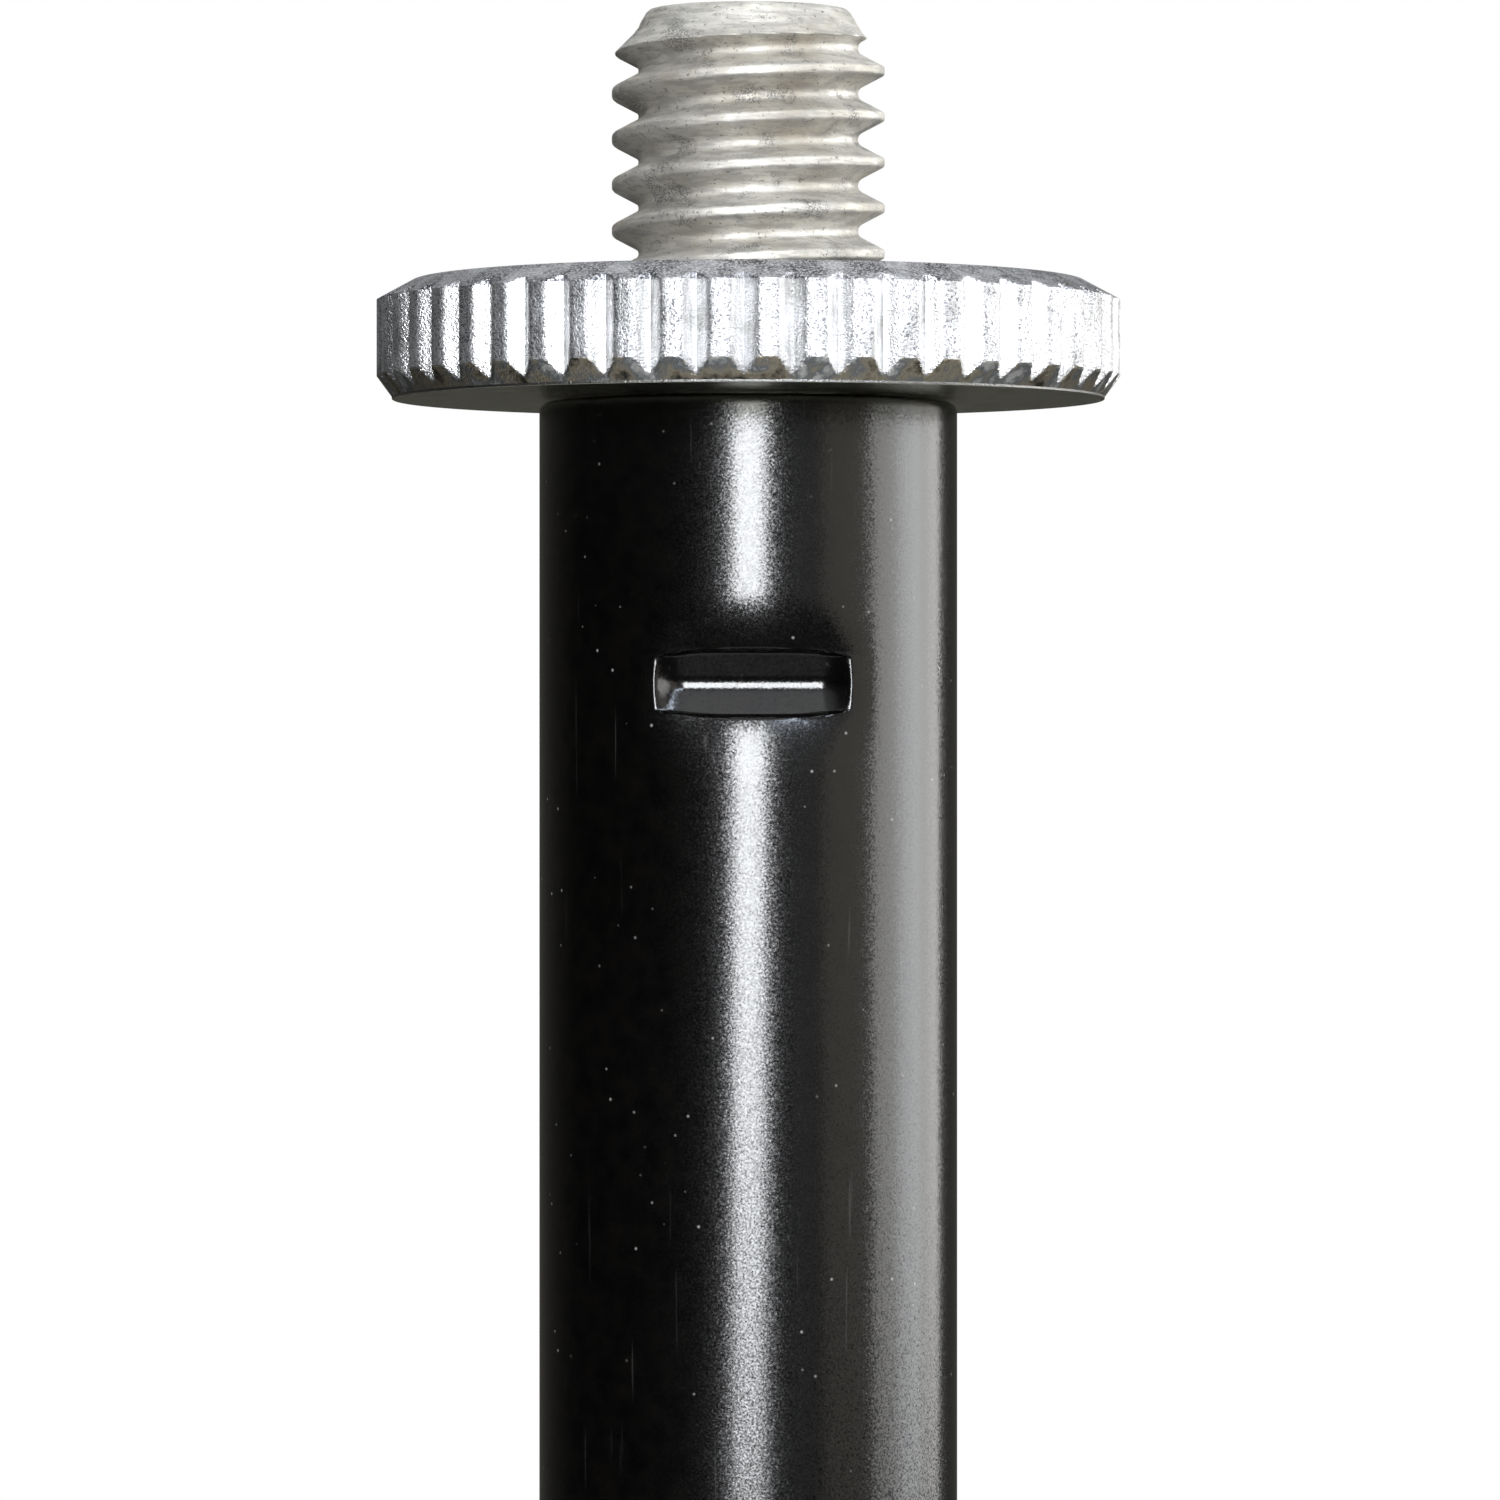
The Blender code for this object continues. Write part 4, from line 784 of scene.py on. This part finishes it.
# Shares of the space from one flute's middle to the next
FLUTE_HALF = 0.32
FLUTE_FLANK = 0.22
SIDES_PER_FLUTE = 24
RING_RADIUS = 10.2 * MM
RING_HEIGHT = 3.6 * MM
RING_PROUD = 0.8 * MM
TUBE_EDGE = 0.3 * MM
HOUSING_ROUNDING = 0.8 * MM
COLLAR_ROUNDING = 0.5 * MM
GAP = 0.3 * MM


def build_column():
    """The lower tube, from the hub's socket up into the clutch."""
    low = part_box("lower_tube")[0].z - COLUMN_TOP
    bore = COLUMN_RADIUS - COLUMN_WALL
    line = [(bore, low), (COLUMN_RADIUS, low), (COLUMN_RADIUS, 0), (bore, 0)]
    mesh = turned_mesh("column_tube", rounded(line, TUBE_EDGE), COLUMN_PLACE)
    add_piece("column_tube", mesh, TUBE_PAINT, "base", ["lower_tube"])


def build_clutch_housing():
    """The skirt grips the column, and its flange carries the grip."""
    socket = COLUMN_RADIUS + GAP
    top = -FLANGE_BELOW
    low = top - FLANGE_HEIGHT
    step = FLANGE_RADIUS - SKIRT_RADIUS
    skirt = [(socket, -SKIRT_LENGTH), (SKIRT_RADIUS, -SKIRT_LENGTH)]
    for above_rim in SKIRT_GROOVES:
        groove = -SKIRT_LENGTH + above_rim
        skirt += [
            (SKIRT_RADIUS, groove - SKIRT_GROOVE_HALF),
            (SKIRT_RADIUS - SKIRT_GROOVE_DEPTH, groove),
            (SKIRT_RADIUS, groove + SKIRT_GROOVE_HALF),
        ]
    profile = skirt + [
        (SKIRT_RADIUS, low - step),
        (FLANGE_RADIUS, low),
        (FLANGE_RADIUS, top),
        (NOSE_RADIUS, top),
        (NOSE_RADIUS, NOSE_TOP),
        (SEAT_HIGH_RADIUS, NOSE_TOP),
        (SEAT_LOW_RADIUS, SHOULDER),
        (THROAT_RADIUS, SHOULDER),
        (THROAT_RADIUS, GAP),
        (socket, GAP),
    ]
    soft = rounded(profile, HOUSING_ROUNDING)
    mesh = turned_mesh("clutch_housing", soft, COLUMN_PLACE, 128)
    add_piece("clutch_housing", mesh, HUB_PAINT, "base", ["clutch_body"])


def flute_share(turn):
    """How much of a flute's depth shows at a turn of the grip, measured in flutes."""
    away = abs(turn - round(turn))
    return eased((FLUTE_HALF - away) / FLUTE_FLANK)


def build_grip():
    """Twisted by hand: wide flutes that fade out in the taper, over a plain rim.

    The third value of a point is the share of the flutes' depth that it takes.
    """
    low = GAP - FLANGE_BELOW
    flute_low = low + GRIP_RIM
    flute_high = GRIP_TOP - GRIP_TAPER
    nose = NOSE_RADIUS + GAP
    seat = RING_RADIUS + GAP
    seat_floor = GRIP_TOP + RING_PROUD - RING_HEIGHT - GAP
    line = [
        (nose, low, 0),
        (GRIP_RADIUS, low, 0),
        (GRIP_RADIUS, flute_low, 0),
        (GRIP_RADIUS, flute_low + FLUTE_DEPTH, 1),
        (GRIP_RADIUS, flute_high, 1),
        (GRIP_TOP_RADIUS, GRIP_TOP, 0),
        (seat, GRIP_TOP, 0),
        (seat, seat_floor, 0),
        (THROAT_RADIUS, seat_floor, 0),
        (THROAT_RADIUS, GRIP_CEILING, 0),
        (nose, GRIP_CEILING, 0),
    ]
    turns = full_turn(FLUTES * SIDES_PER_FLUTE)
    rings = []
    for radius, height, share in rounded(line, GRIP_ROUNDING, steps=4):
        ring = []
        for i, turn in enumerate(turns):
            depth = FLUTE_DEPTH * clamped(share) * flute_share(i / SIDES_PER_FLUTE)
            ring.append(placed(COLUMN_PLACE, radius - depth, turn, height))
        rings.append(ring)
    mesh = rings_mesh("clutch_grip", rings, bored=True)
    add_piece("clutch_grip", mesh, BLACK_NYLON, "sleeve", ["clutch_sleeve"])


def build_guide_collar():
    """The ring in the grip's mouth that guides the extension tube."""
    top = GRIP_TOP + RING_PROUD
    low = top - RING_HEIGHT
    bore = TUBE_RADIUS + GAP
    line = [(bore, low), (RING_RADIUS, low), (RING_RADIUS, top), (bore, top)]
    mesh = turned_mesh("guide_collar", rounded(line, COLLAR_ROUNDING), COLUMN_PLACE)
    add_piece("guide_collar", mesh, BLACK_NYLON, "sleeve", ["guide_ring"])


# Hub

HUB_RADIUS = 17.0 * MM
HUB_TOP_RADIUS = 13.5 * MM
HUB_HEIGHT = 58.0 * MM
HUB_TAPER = 14.0 * MM
HUB_COLLAR = 1.5 * MM
HUB_VOXEL = 0.56 * MM
HUB_SMOOTHING = 90
SOCKET_FLOOR = 20.0 * MM
RECESS_TOP = 12.0 * MM
RECESS_RADIUS = 9.1 * MM
BOLT_HOLE = 4.3 * MM
CAP_RADIUS = 13.0 * MM
CAP_THICKNESS = 3.0 * MM
CAP_EDGE = 0.9 * MM
CAP_ROUNDING = 0.3 * MM
CAP_RECESS = 0.35 * MM
CAP_GROOVE = 1.6 * CAP_RECESS
CAP_RINGS = [4.5 * MM, 9.5 * MM]
CAP_PLUG_RADIUS = 8.8 * MM
CAP_PLUG_HEIGHT = 0.8 * MM
LEG_SLOPE = math.radians(14.0)
LEG_TURNS = [math.radians(90 + 120 * i) for i in range(3)]
PIVOT_RADIUS = 34.0 * MM
PIVOT_HEIGHT = 30.0 * MM
EAR_RADIUS = 12.5 * MM
EAR_THICKNESS = 5.0 * MM
FORK_TOP = 51.0 * MM
FORK_BOTTOM = 6.0 * MM
KNUCKLE_WIDTH = 13.4 * MM
KNUCKLE_RADIUS = 8.0 * MM
KNUCKLE_LENGTH = 21.5 * MM
KNUCKLE_EDGE = 0.8 * MM
PIN_RADIUS = 3.0 * MM
RIVET_RADIUS = 4.8 * MM
RIVET_HEIGHT = 1.8 * MM
CHANNEL_RADIUS = KNUCKLE_RADIUS + GAP
CHANNEL_WIDTH = KNUCKLE_WIDTH + 2 * GAP
FORK_WIDTH = CHANNEL_WIDTH + 2 * EAR_THICKNESS
# How far a cutting shape reaches past what it cuts
CUT_PAST = 4 * MM
LIE_ALONG_X = Matrix.Rotation(math.radians(90), 4, "Y")
LIE_ALONG_Y = Matrix.Rotation(math.radians(-90), 4, "X")


def pivot_place(turn):
    """The place of a leg's pivot: X points away from the column, Y along the pin."""
    out = Matrix.Translation((PIVOT_RADIUS, 0, PIVOT_HEIGHT))
    return HUB_PLACE @ Matrix.Rotation(turn, 4, "Z") @ out


def leg_place(turn):
    """X runs down along the open leg from its pivot."""
    return pivot_place(turn) @ Matrix.Rotation(LEG_SLOPE, 4, "Y")


def tangent_deg(point, radius, side):
    """Angle on a circle about the origin where the line from an outside point touches it."""
    reach = math.hypot(*point)
    return math.degrees(math.atan2(point[1], point[0]) + side * math.acos(radius / reach))


def fork_outline():
    """A fork from the side: round about its pivot, and taller where it joins the hub."""
    inner = (HUB_RADIUS + COLUMN_RADIUS + GAP) / 2 - PIVOT_RADIUS
    low = (inner, FORK_BOTTOM - PIVOT_HEIGHT)
    high = (inner, FORK_TOP - PIVOT_HEIGHT)
    start = tangent_deg(low, EAR_RADIUS, 1)
    end = tangent_deg(high, EAR_RADIUS, -1)
    start -= 360 if start > end else 0
    return [low, *arc((0, 0), EAR_RADIUS, start, end, 30), high]


def channel_outline():
    """The space that a leg turns in, open below and outward."""
    reach = EAR_RADIUS + CUT_PAST
    x = CHANNEL_RADIUS * math.sin(LEG_SLOPE) + reach * math.cos(LEG_SLOPE)
    z = CHANNEL_RADIUS * math.cos(LEG_SLOPE) - reach * math.sin(LEG_SLOPE)
    low = FORK_BOTTOM - PIVOT_HEIGHT - CUT_PAST
    roof = arc((0, 0), CHANNEL_RADIUS, 90 - math.degrees(LEG_SLOPE), 180, 20)
    return [(x, z), *roof, (-CHANNEL_RADIUS, low), (x, low)]


def pin_hole(width, place):
    """A cutting shape for the pin's hole through a piece of the given width."""
    radius = PIN_RADIUS + GAP
    half = width / 2 + CUT_PAST
    line = [(radius, -half), (radius, half)]
    return turned_mesh("pin_hole", line, place @ LIE_ALONG_Y, 48, bored=False)


def build_hub():
    """A die casting: forks on a turned body, all edges and inner corners softened as one skin."""
    socket = COLUMN_RADIUS + GAP
    cap_top = CAP_THICKNESS + GAP
    profile = [
        (CAP_RADIUS + GAP, 0),
        (HUB_RADIUS, 0),
        (HUB_RADIUS, HUB_HEIGHT - HUB_TAPER),
        (HUB_TOP_RADIUS, HUB_HEIGHT - HUB_COLLAR),
        (HUB_TOP_RADIUS, HUB_HEIGHT),
        (socket, HUB_HEIGHT),
        (socket, SOCKET_FLOOR),
        (BOLT_HOLE, SOCKET_FLOOR),
        (BOLT_HOLE, RECESS_TOP),
        (RECESS_RADIUS, RECESS_TOP),
        (RECESS_RADIUS, cap_top),
        (CAP_RADIUS + GAP, cap_top),
    ]
    body = turned_mesh("hub_body", profile, HUB_PLACE, 128)
    steps = []
    for turn in LEG_TURNS:
        place = pivot_place(turn)
        steps += [
            ("UNION", extruded_mesh("fork", fork_outline(), FORK_WIDTH, place)),
            ("DIFFERENCE", extruded_mesh("channel", channel_outline(), CHANNEL_WIDTH, place)),
            ("DIFFERENCE", pin_hole(FORK_WIDTH, place)),
        ]
    skin = [
        ("REMESH", {"mode": "VOXEL", "voxel_size": HUB_VOXEL}),
        ("SMOOTH", {"factor": 0.6, "iterations": HUB_SMOOTHING}),
    ]
    mesh = carve(body, steps, skin)
    mesh.name = "hub_casting"
    add_piece("hub_casting", mesh, HUB_PAINT, "base", ["hub"])


def build_bottom_cap():
    """A plastic disc with two raised rings and the mark of its moulding gate."""
    profile = [(0.4 * MM, CAP_RECESS), (1.4 * MM, CAP_RECESS), (1.6 * MM, CAP_GROOVE)]
    for radius in CAP_RINGS:
        profile += [
            (radius, CAP_GROOVE),
            (radius + 0.3 * MM, 0),
            (radius + 1.3 * MM, 0),
            (radius + 1.6 * MM, CAP_GROOVE),
        ]
    profile += [
        (CAP_RADIUS - 0.8 * MM, CAP_RECESS),
        (CAP_RADIUS, CAP_EDGE),
        (CAP_RADIUS, CAP_THICKNESS),
        (CAP_PLUG_RADIUS, CAP_THICKNESS),
        (CAP_PLUG_RADIUS, CAP_THICKNESS + CAP_PLUG_HEIGHT),
    ]
    line = rounded(profile, CAP_ROUNDING, closed=False)
    mesh = turned_mesh("bottom_cap", line, HUB_PLACE, bored=False)
    add_piece("bottom_cap", mesh, BLACK_NYLON, "base", ["hub_cap"])


# Legs

SPIGOT_LENGTH = 26.0 * MM
LEG_RADIUS = 8.0 * MM
LEG_WALL = 1.2 * MM
LEG_EDGE = 0.4 * MM
LEG_LENGTH = 285.0 * MM
LEG_START = KNUCKLE_LENGTH + GAP
LEG_END = LEG_START + LEG_LENGTH
FOOT_RADIUS = 12.0 * MM
FOOT_MOUTH_RADIUS = 10.2 * MM
FOOT_GRIP = 36.0 * MM
FOOT_SOLE = 14.0 * MM
FOOT_END = LEG_END + GAP + FOOT_SOLE
FOOT_ROUNDING = 4.5 * MM
FOOT_EDGE = 0.6 * MM
RIBS = 3
RIB_WIDTH = 3.0 * MM
RIB_SPACING = 5.5 * MM
RIB_DEPTH = 0.9 * MM
RIB_FLOOR_HALF = 0.5 * MM
RIVET_GAP = 0.1 * MM
RIVET_EDGE = 0.5 * MM
SPIGOT_CHAMFER = 1 * MM
# A closed turned piece ends in a flat of this radius
TIP_RADIUS = 0.2 * MM


def build_rivet(number, turn):
    """A domed head outside each ear of the fork, on one pin."""
    start = FORK_WIDTH / 2 + RIVET_GAP
    edge = start + RIVET_EDGE
    half = [(PIN_RADIUS, start), (RIVET_RADIUS, start)]
    for i in range(8):
        rise = math.pi / 2 * i / 8
        height = (RIVET_HEIGHT - RIVET_EDGE) * math.sin(rise)
        half.append((RIVET_RADIUS * math.cos(rise), edge + height))
    half.append((TIP_RADIUS, start + RIVET_HEIGHT))
    profile = [(radius, -height) for radius, height in reversed(half)] + half
    name = f"rivet_{number}"
    mesh = turned_mesh(name, profile, pivot_place(turn) @ LIE_ALONG_Y, 48, bored=False)
    add_piece(name, mesh, STEEL, "base", [f"leg_pin_{number}"])


def build_knuckle(number, turn):
    """A flat tongue, round about its pivot, whose spigot fills the end of the leg's tube."""
    place = leg_place(turn)
    outline = [
        (KNUCKLE_LENGTH, -KNUCKLE_RADIUS),
        (KNUCKLE_LENGTH, KNUCKLE_RADIUS),
        *arc((0, 0), KNUCKLE_RADIUS, 90, 270, 28),
    ]
    tongue = extruded_mesh("tongue", outline, KNUCKLE_WIDTH, place)
    bevel = {"width": KNUCKLE_EDGE, "segments": 3, "limit_method": "ANGLE", "angle_limit": 0.7}
    tongue = carve(tongue, [], [("BEVEL", bevel)])
    radius = LEG_RADIUS - LEG_WALL - GAP
    neck = radius - SPIGOT_CHAMFER
    step = KNUCKLE_LENGTH - SPIGOT_CHAMFER
    end = KNUCKLE_LENGTH + SPIGOT_LENGTH
    profile = [
        (neck, KNUCKLE_LENGTH / 2),
        (neck, step),
        (radius, step),
        (radius, end - SPIGOT_CHAMFER),
        (neck, end),
    ]
    spigot = turned_mesh("spigot", profile, place @ LIE_ALONG_X, 64, bored=False)
    mesh = carve(tongue, [("UNION", spigot), ("DIFFERENCE", pin_hole(KNUCKLE_WIDTH, place))])
    name = f"knuckle_{number}"
    mesh.name = name
    body = f"leg_{number}"
    add_piece(name, mesh, HUB_PAINT, body, [f"leg_root_{number}"])


def build_leg(number, turn):
    """The tube of a leg, from its knuckle to its boot."""
    bore = LEG_RADIUS - LEG_WALL
    line = [
        (bore, LEG_START),
        (LEG_RADIUS, LEG_START),
        (LEG_RADIUS, LEG_END),
        (bore, LEG_END),
    ]
    name = f"leg_{number}_tube"
    mesh = turned_mesh(name, rounded(line, LEG_EDGE), leg_place(turn) @ LIE_ALONG_X)
    body = f"leg_{number}"
    add_piece(name, mesh, TUBE_PAINT, body, [f"leg_tube_{number}"])


def build_boot(number, turn):
    """A rubber boot, ribbed at its mouth and cut level where it stands on the floor."""
    bore = LEG_RADIUS + GAP
    mouth = LEG_END - FOOT_GRIP
    line = [(TIP_RADIUS, LEG_END + GAP), (bore, LEG_END + GAP), (bore, mouth)]
    for i in range(RIBS):
        start = mouth + i * RIB_SPACING
        middle = start + (RIB_WIDTH + RIB_SPACING) / 2
        line += [
            (FOOT_MOUTH_RADIUS, start),
            (FOOT_MOUTH_RADIUS, start + RIB_WIDTH),
            (FOOT_MOUTH_RADIUS - RIB_DEPTH, middle - RIB_FLOOR_HALF),
            (FOOT_MOUTH_RADIUS - RIB_DEPTH, middle + RIB_FLOOR_HALF),
        ]
    line.append((FOOT_MOUTH_RADIUS, mouth + RIBS * RIB_SPACING))
    line.append((FOOT_RADIUS, FOOT_END - FOOT_ROUNDING))
    soft = rounded(line, FOOT_EDGE, closed=False)
    center = (FOOT_RADIUS - FOOT_ROUNDING, FOOT_END - FOOT_ROUNDING)
    soft += arc(center, FOOT_ROUNDING, 0, 90, 12)[1:]
    soft += [(TIP_RADIUS, FOOT_END)]
    mesh = turned_mesh("boot", soft, leg_place(turn) @ LIE_ALONG_X, bored=False)
    bm = bmesh.new()
    bm.from_mesh(mesh)
    everything = bm.verts[:] + bm.edges[:] + bm.faces[:]
    floor_plane = {"plane_co": (0, 0, 0), "plane_no": (0, 0, -1)}
    cut = bmesh.ops.bisect_plane(bm, geom=everything, clear_outer=True, **floor_plane)
    rim = [item for item in cut["geom_cut"] if isinstance(item, bmesh.types.BMEdge)]
    bmesh.ops.edgeloop_fill(bm, edges=rim)
    bm.to_mesh(mesh)
    bm.free()
    name = f"boot_{number}"
    mesh.name = name
    add_piece(name, mesh, RUBBER, f"leg_{number}", [f"foot_{number}"])


# Light, floor and camera


def add_area(name, place, target, width, height, watts, color):
    """An area light that faces its target."""
    data = bpy.data.lights.new(name, "AREA")
    data.color = color
    data.shape = "RECTANGLE"
    data.size = width
    data.size_y = height
    data.energy = watts
    obj = new_object(name, data)
    obj.location = place
    aim = Vector(target) - Vector(place)
    obj.rotation_euler = aim.to_track_quat("-Z", "Y").to_euler()


# Brightness of the studio by how high a direction points, from straight down to straight up
SKY = [
    (-1.0, 0.04),
    (-0.3, 0.015),
    (0.05, 0.008),
    (0.45, 0.10),
    (0.72, 0.70),
    (0.88, 1.0),
    (0.97, 0.66),
    (1.0, 0.62),
]
SKY_TINT = (0.94, 0.97, 1.0)
# Added towards the back wall, by how far a direction points along +Y
BACKDROP = [(0.3, 0.0), (1.0, 0.075)]
BACKDROP_TINT = (1.0, 0.96, 0.84)
FLOOR_LIGHT = 1.45
FLOOR_COLOR = (0.86, 0.86, 0.855)
FLOOR_RADIUS = 6.0
# How bright the floor is in what the stand mirrors, by the distance from its middle in metres
FLOOR_MIRRORED = [(0.70, 0.24), (0.98, 0.018)]
# Offset from the tube's end, width, height, watts and colour
LIGHTS = {
    "front": ((0.01, -1.2, 0.2225), 0.37, 0.735, 24.5, (0.95, 0.97, 1.0)),
    "front_side": ((0.66, -1.06, 0.2), 0.35, 0.8, 0.3, (0.95, 0.97, 1.0)),
    "right": ((1.28, 0.24, 0.20), 1.5, 0.80, 17.5, (1.0, 0.99, 0.97)),
    "right_cool": ((1.19, 0.20, 0.20), 0.42, 0.80, 2.2, (0.85, 0.93, 1.0)),
    "right_soft": ((1.0, -0.72, 0.20), 0.6, 0.80, 1.4, (1.0, 0.92, 0.82)),
    "window": ((0.68, -0.99, 0.83), 0.85, 0.20, 8.5, (0.76, 0.85, 1.0)),
}


def build_world():
    """White for the camera, even for the floor, and a dark room for what the stand mirrors."""
    world = bpy.data.worlds.new("studio")
    bpy.context.scene.world = world
    world.use_nodes = True
    tree = world.node_tree
    seen = tree.nodes["Background"]
    seen.inputs["Color"].default_value = (1.0, 1.0, 1.0, 1.0)
    direction = tree.nodes.new("ShaderNodeTexCoord")
    split = tree.nodes.new("ShaderNodeSeparateXYZ")
    tree.links.new(direction.outputs["Generated"], split.inputs["Vector"])

    def gradient(axis, stops, tint):
        raised = tree.nodes.new("ShaderNodeMapRange")
        raised.inputs["From Min"].default_value = -1.0
        shade = tree.nodes.new("ShaderNodeValToRGB")
        points = shade.color_ramp.elements
        while len(points) < len(stops):
            points.new(0.5)
        for point, (reach, light) in zip(points, stops):
            point.position = (reach + 1) / 2
            point.color = (*(light * share for share in tint), 1.0)
        background = tree.nodes.new("ShaderNodeBackground")
        tree.links.new(split.outputs[axis], raised.inputs["Value"])
        tree.links.new(raised.outputs["Result"], shade.inputs["Fac"])
        tree.links.new(shade.outputs["Color"], background.inputs["Color"])
        return background.outputs["Background"]

    room = tree.nodes.new("ShaderNodeAddShader")
    tree.links.new(gradient("Z", SKY, SKY_TINT), room.inputs[0])
    tree.links.new(gradient("Y", BACKDROP, BACKDROP_TINT), room.inputs[1])
    even = tree.nodes.new("ShaderNodeBackground")
    even.inputs["Strength"].default_value = FLOOR_LIGHT
    path = tree.nodes.new("ShaderNodeLightPath").outputs
    mirrored = room.outputs["Shader"]
    for ray, background in (("Is Diffuse Ray", even), ("Is Camera Ray", seen)):
        mix = tree.nodes.new("ShaderNodeMixShader")
        tree.links.new(path[ray], mix.inputs["Fac"])
        tree.links.new(mirrored, mix.inputs[1])
        tree.links.new(background.outputs["Background"], mix.inputs[2])
        mirrored = mix.outputs["Shader"]
    tree.links.new(mirrored, tree.nodes["World Output"].inputs["Surface"])


def build_floor():
    """A pale disc. In what the stand mirrors it is darker, most of all far from the stand."""
    bm = bmesh.new()
    bmesh.ops.create_circle(bm, cap_ends=True, segments=96, radius=FLOOR_RADIUS)
    floor_mesh = bpy.data.meshes.new("floor")
    bm.to_mesh(floor_mesh)
    bm.free()
    floor = new_object("floor", floor_mesh)
    pale = Shader("pale_floor", FLOOR_COLOR, 0.6, specular=0.0)
    mirrored = pale.add("ShaderNodeLightPath").outputs["Is Glossy Ray"]
    reach = pale.vector_math("LENGTH", pale.place)
    dark = pale.ramp(reach.outputs["Value"], FLOOR_MIRRORED)
    pale.color(pale.mix(mirrored, FLOOR_COLOR, dark))
    floor_mesh.materials.append(pale.material)


CAMERA_DISTANCE = 0.250
CAMERA_BELOW_NUT = 0.01215
CAMERA_SIDE = 0.00006
CAMERA_LENS = 172.8
CAMERA_SENSOR = 36.0


def build_camera():
    """Level, in front of the tube and a little below the nut, as in the photo."""
    data = bpy.data.cameras.new("photo_camera")
    data.lens = CAMERA_LENS
    data.sensor_width = CAMERA_SENSOR
    data.clip_start = 0.01
    data.clip_end = 50.0
    camera = new_object("photo_camera", data)
    camera.location = (
        AXIS.x + CAMERA_SIDE,
        AXIS.y - CAMERA_DISTANCE,
        NUT_LOW - CAMERA_BELOW_NUT,
    )
    camera.rotation_euler = (math.radians(90), 0.0, 0.0)
    bpy.context.scene.camera = camera


def build_lights():
    """Soft lights round the tube's end, and a large one over the whole stand."""
    target = (AXIS.x, AXIS.y, TUBE_TOP)
    for name, (offset, width, height, watts, color) in LIGHTS.items():
        place = tuple(a + b for a, b in zip(target, offset))
        add_area(name, place, target, width, height, watts, color)
    above = (0.2, AXIS.y - 0.3, 2.4)
    add_area("top", above, (0, 0, 0.3), 1.6, 1.6, 8, (1.0, 1.0, 1.0))


bpy.context.scene.view_settings.view_transform = "Standard"
build_camera()
build_world()
build_floor()
build_lights()
dress_nodes()
build_stud()
build_nut()
build_tube()
build_column()
build_clutch_housing()
build_grip()
build_guide_collar()
build_hub()
build_bottom_cap()
for number, turn in enumerate(LEG_TURNS, 1):
    build_rivet(number, turn)
    build_knuckle(number, turn)
    build_leg(number, turn)
    build_boot(number, turn)
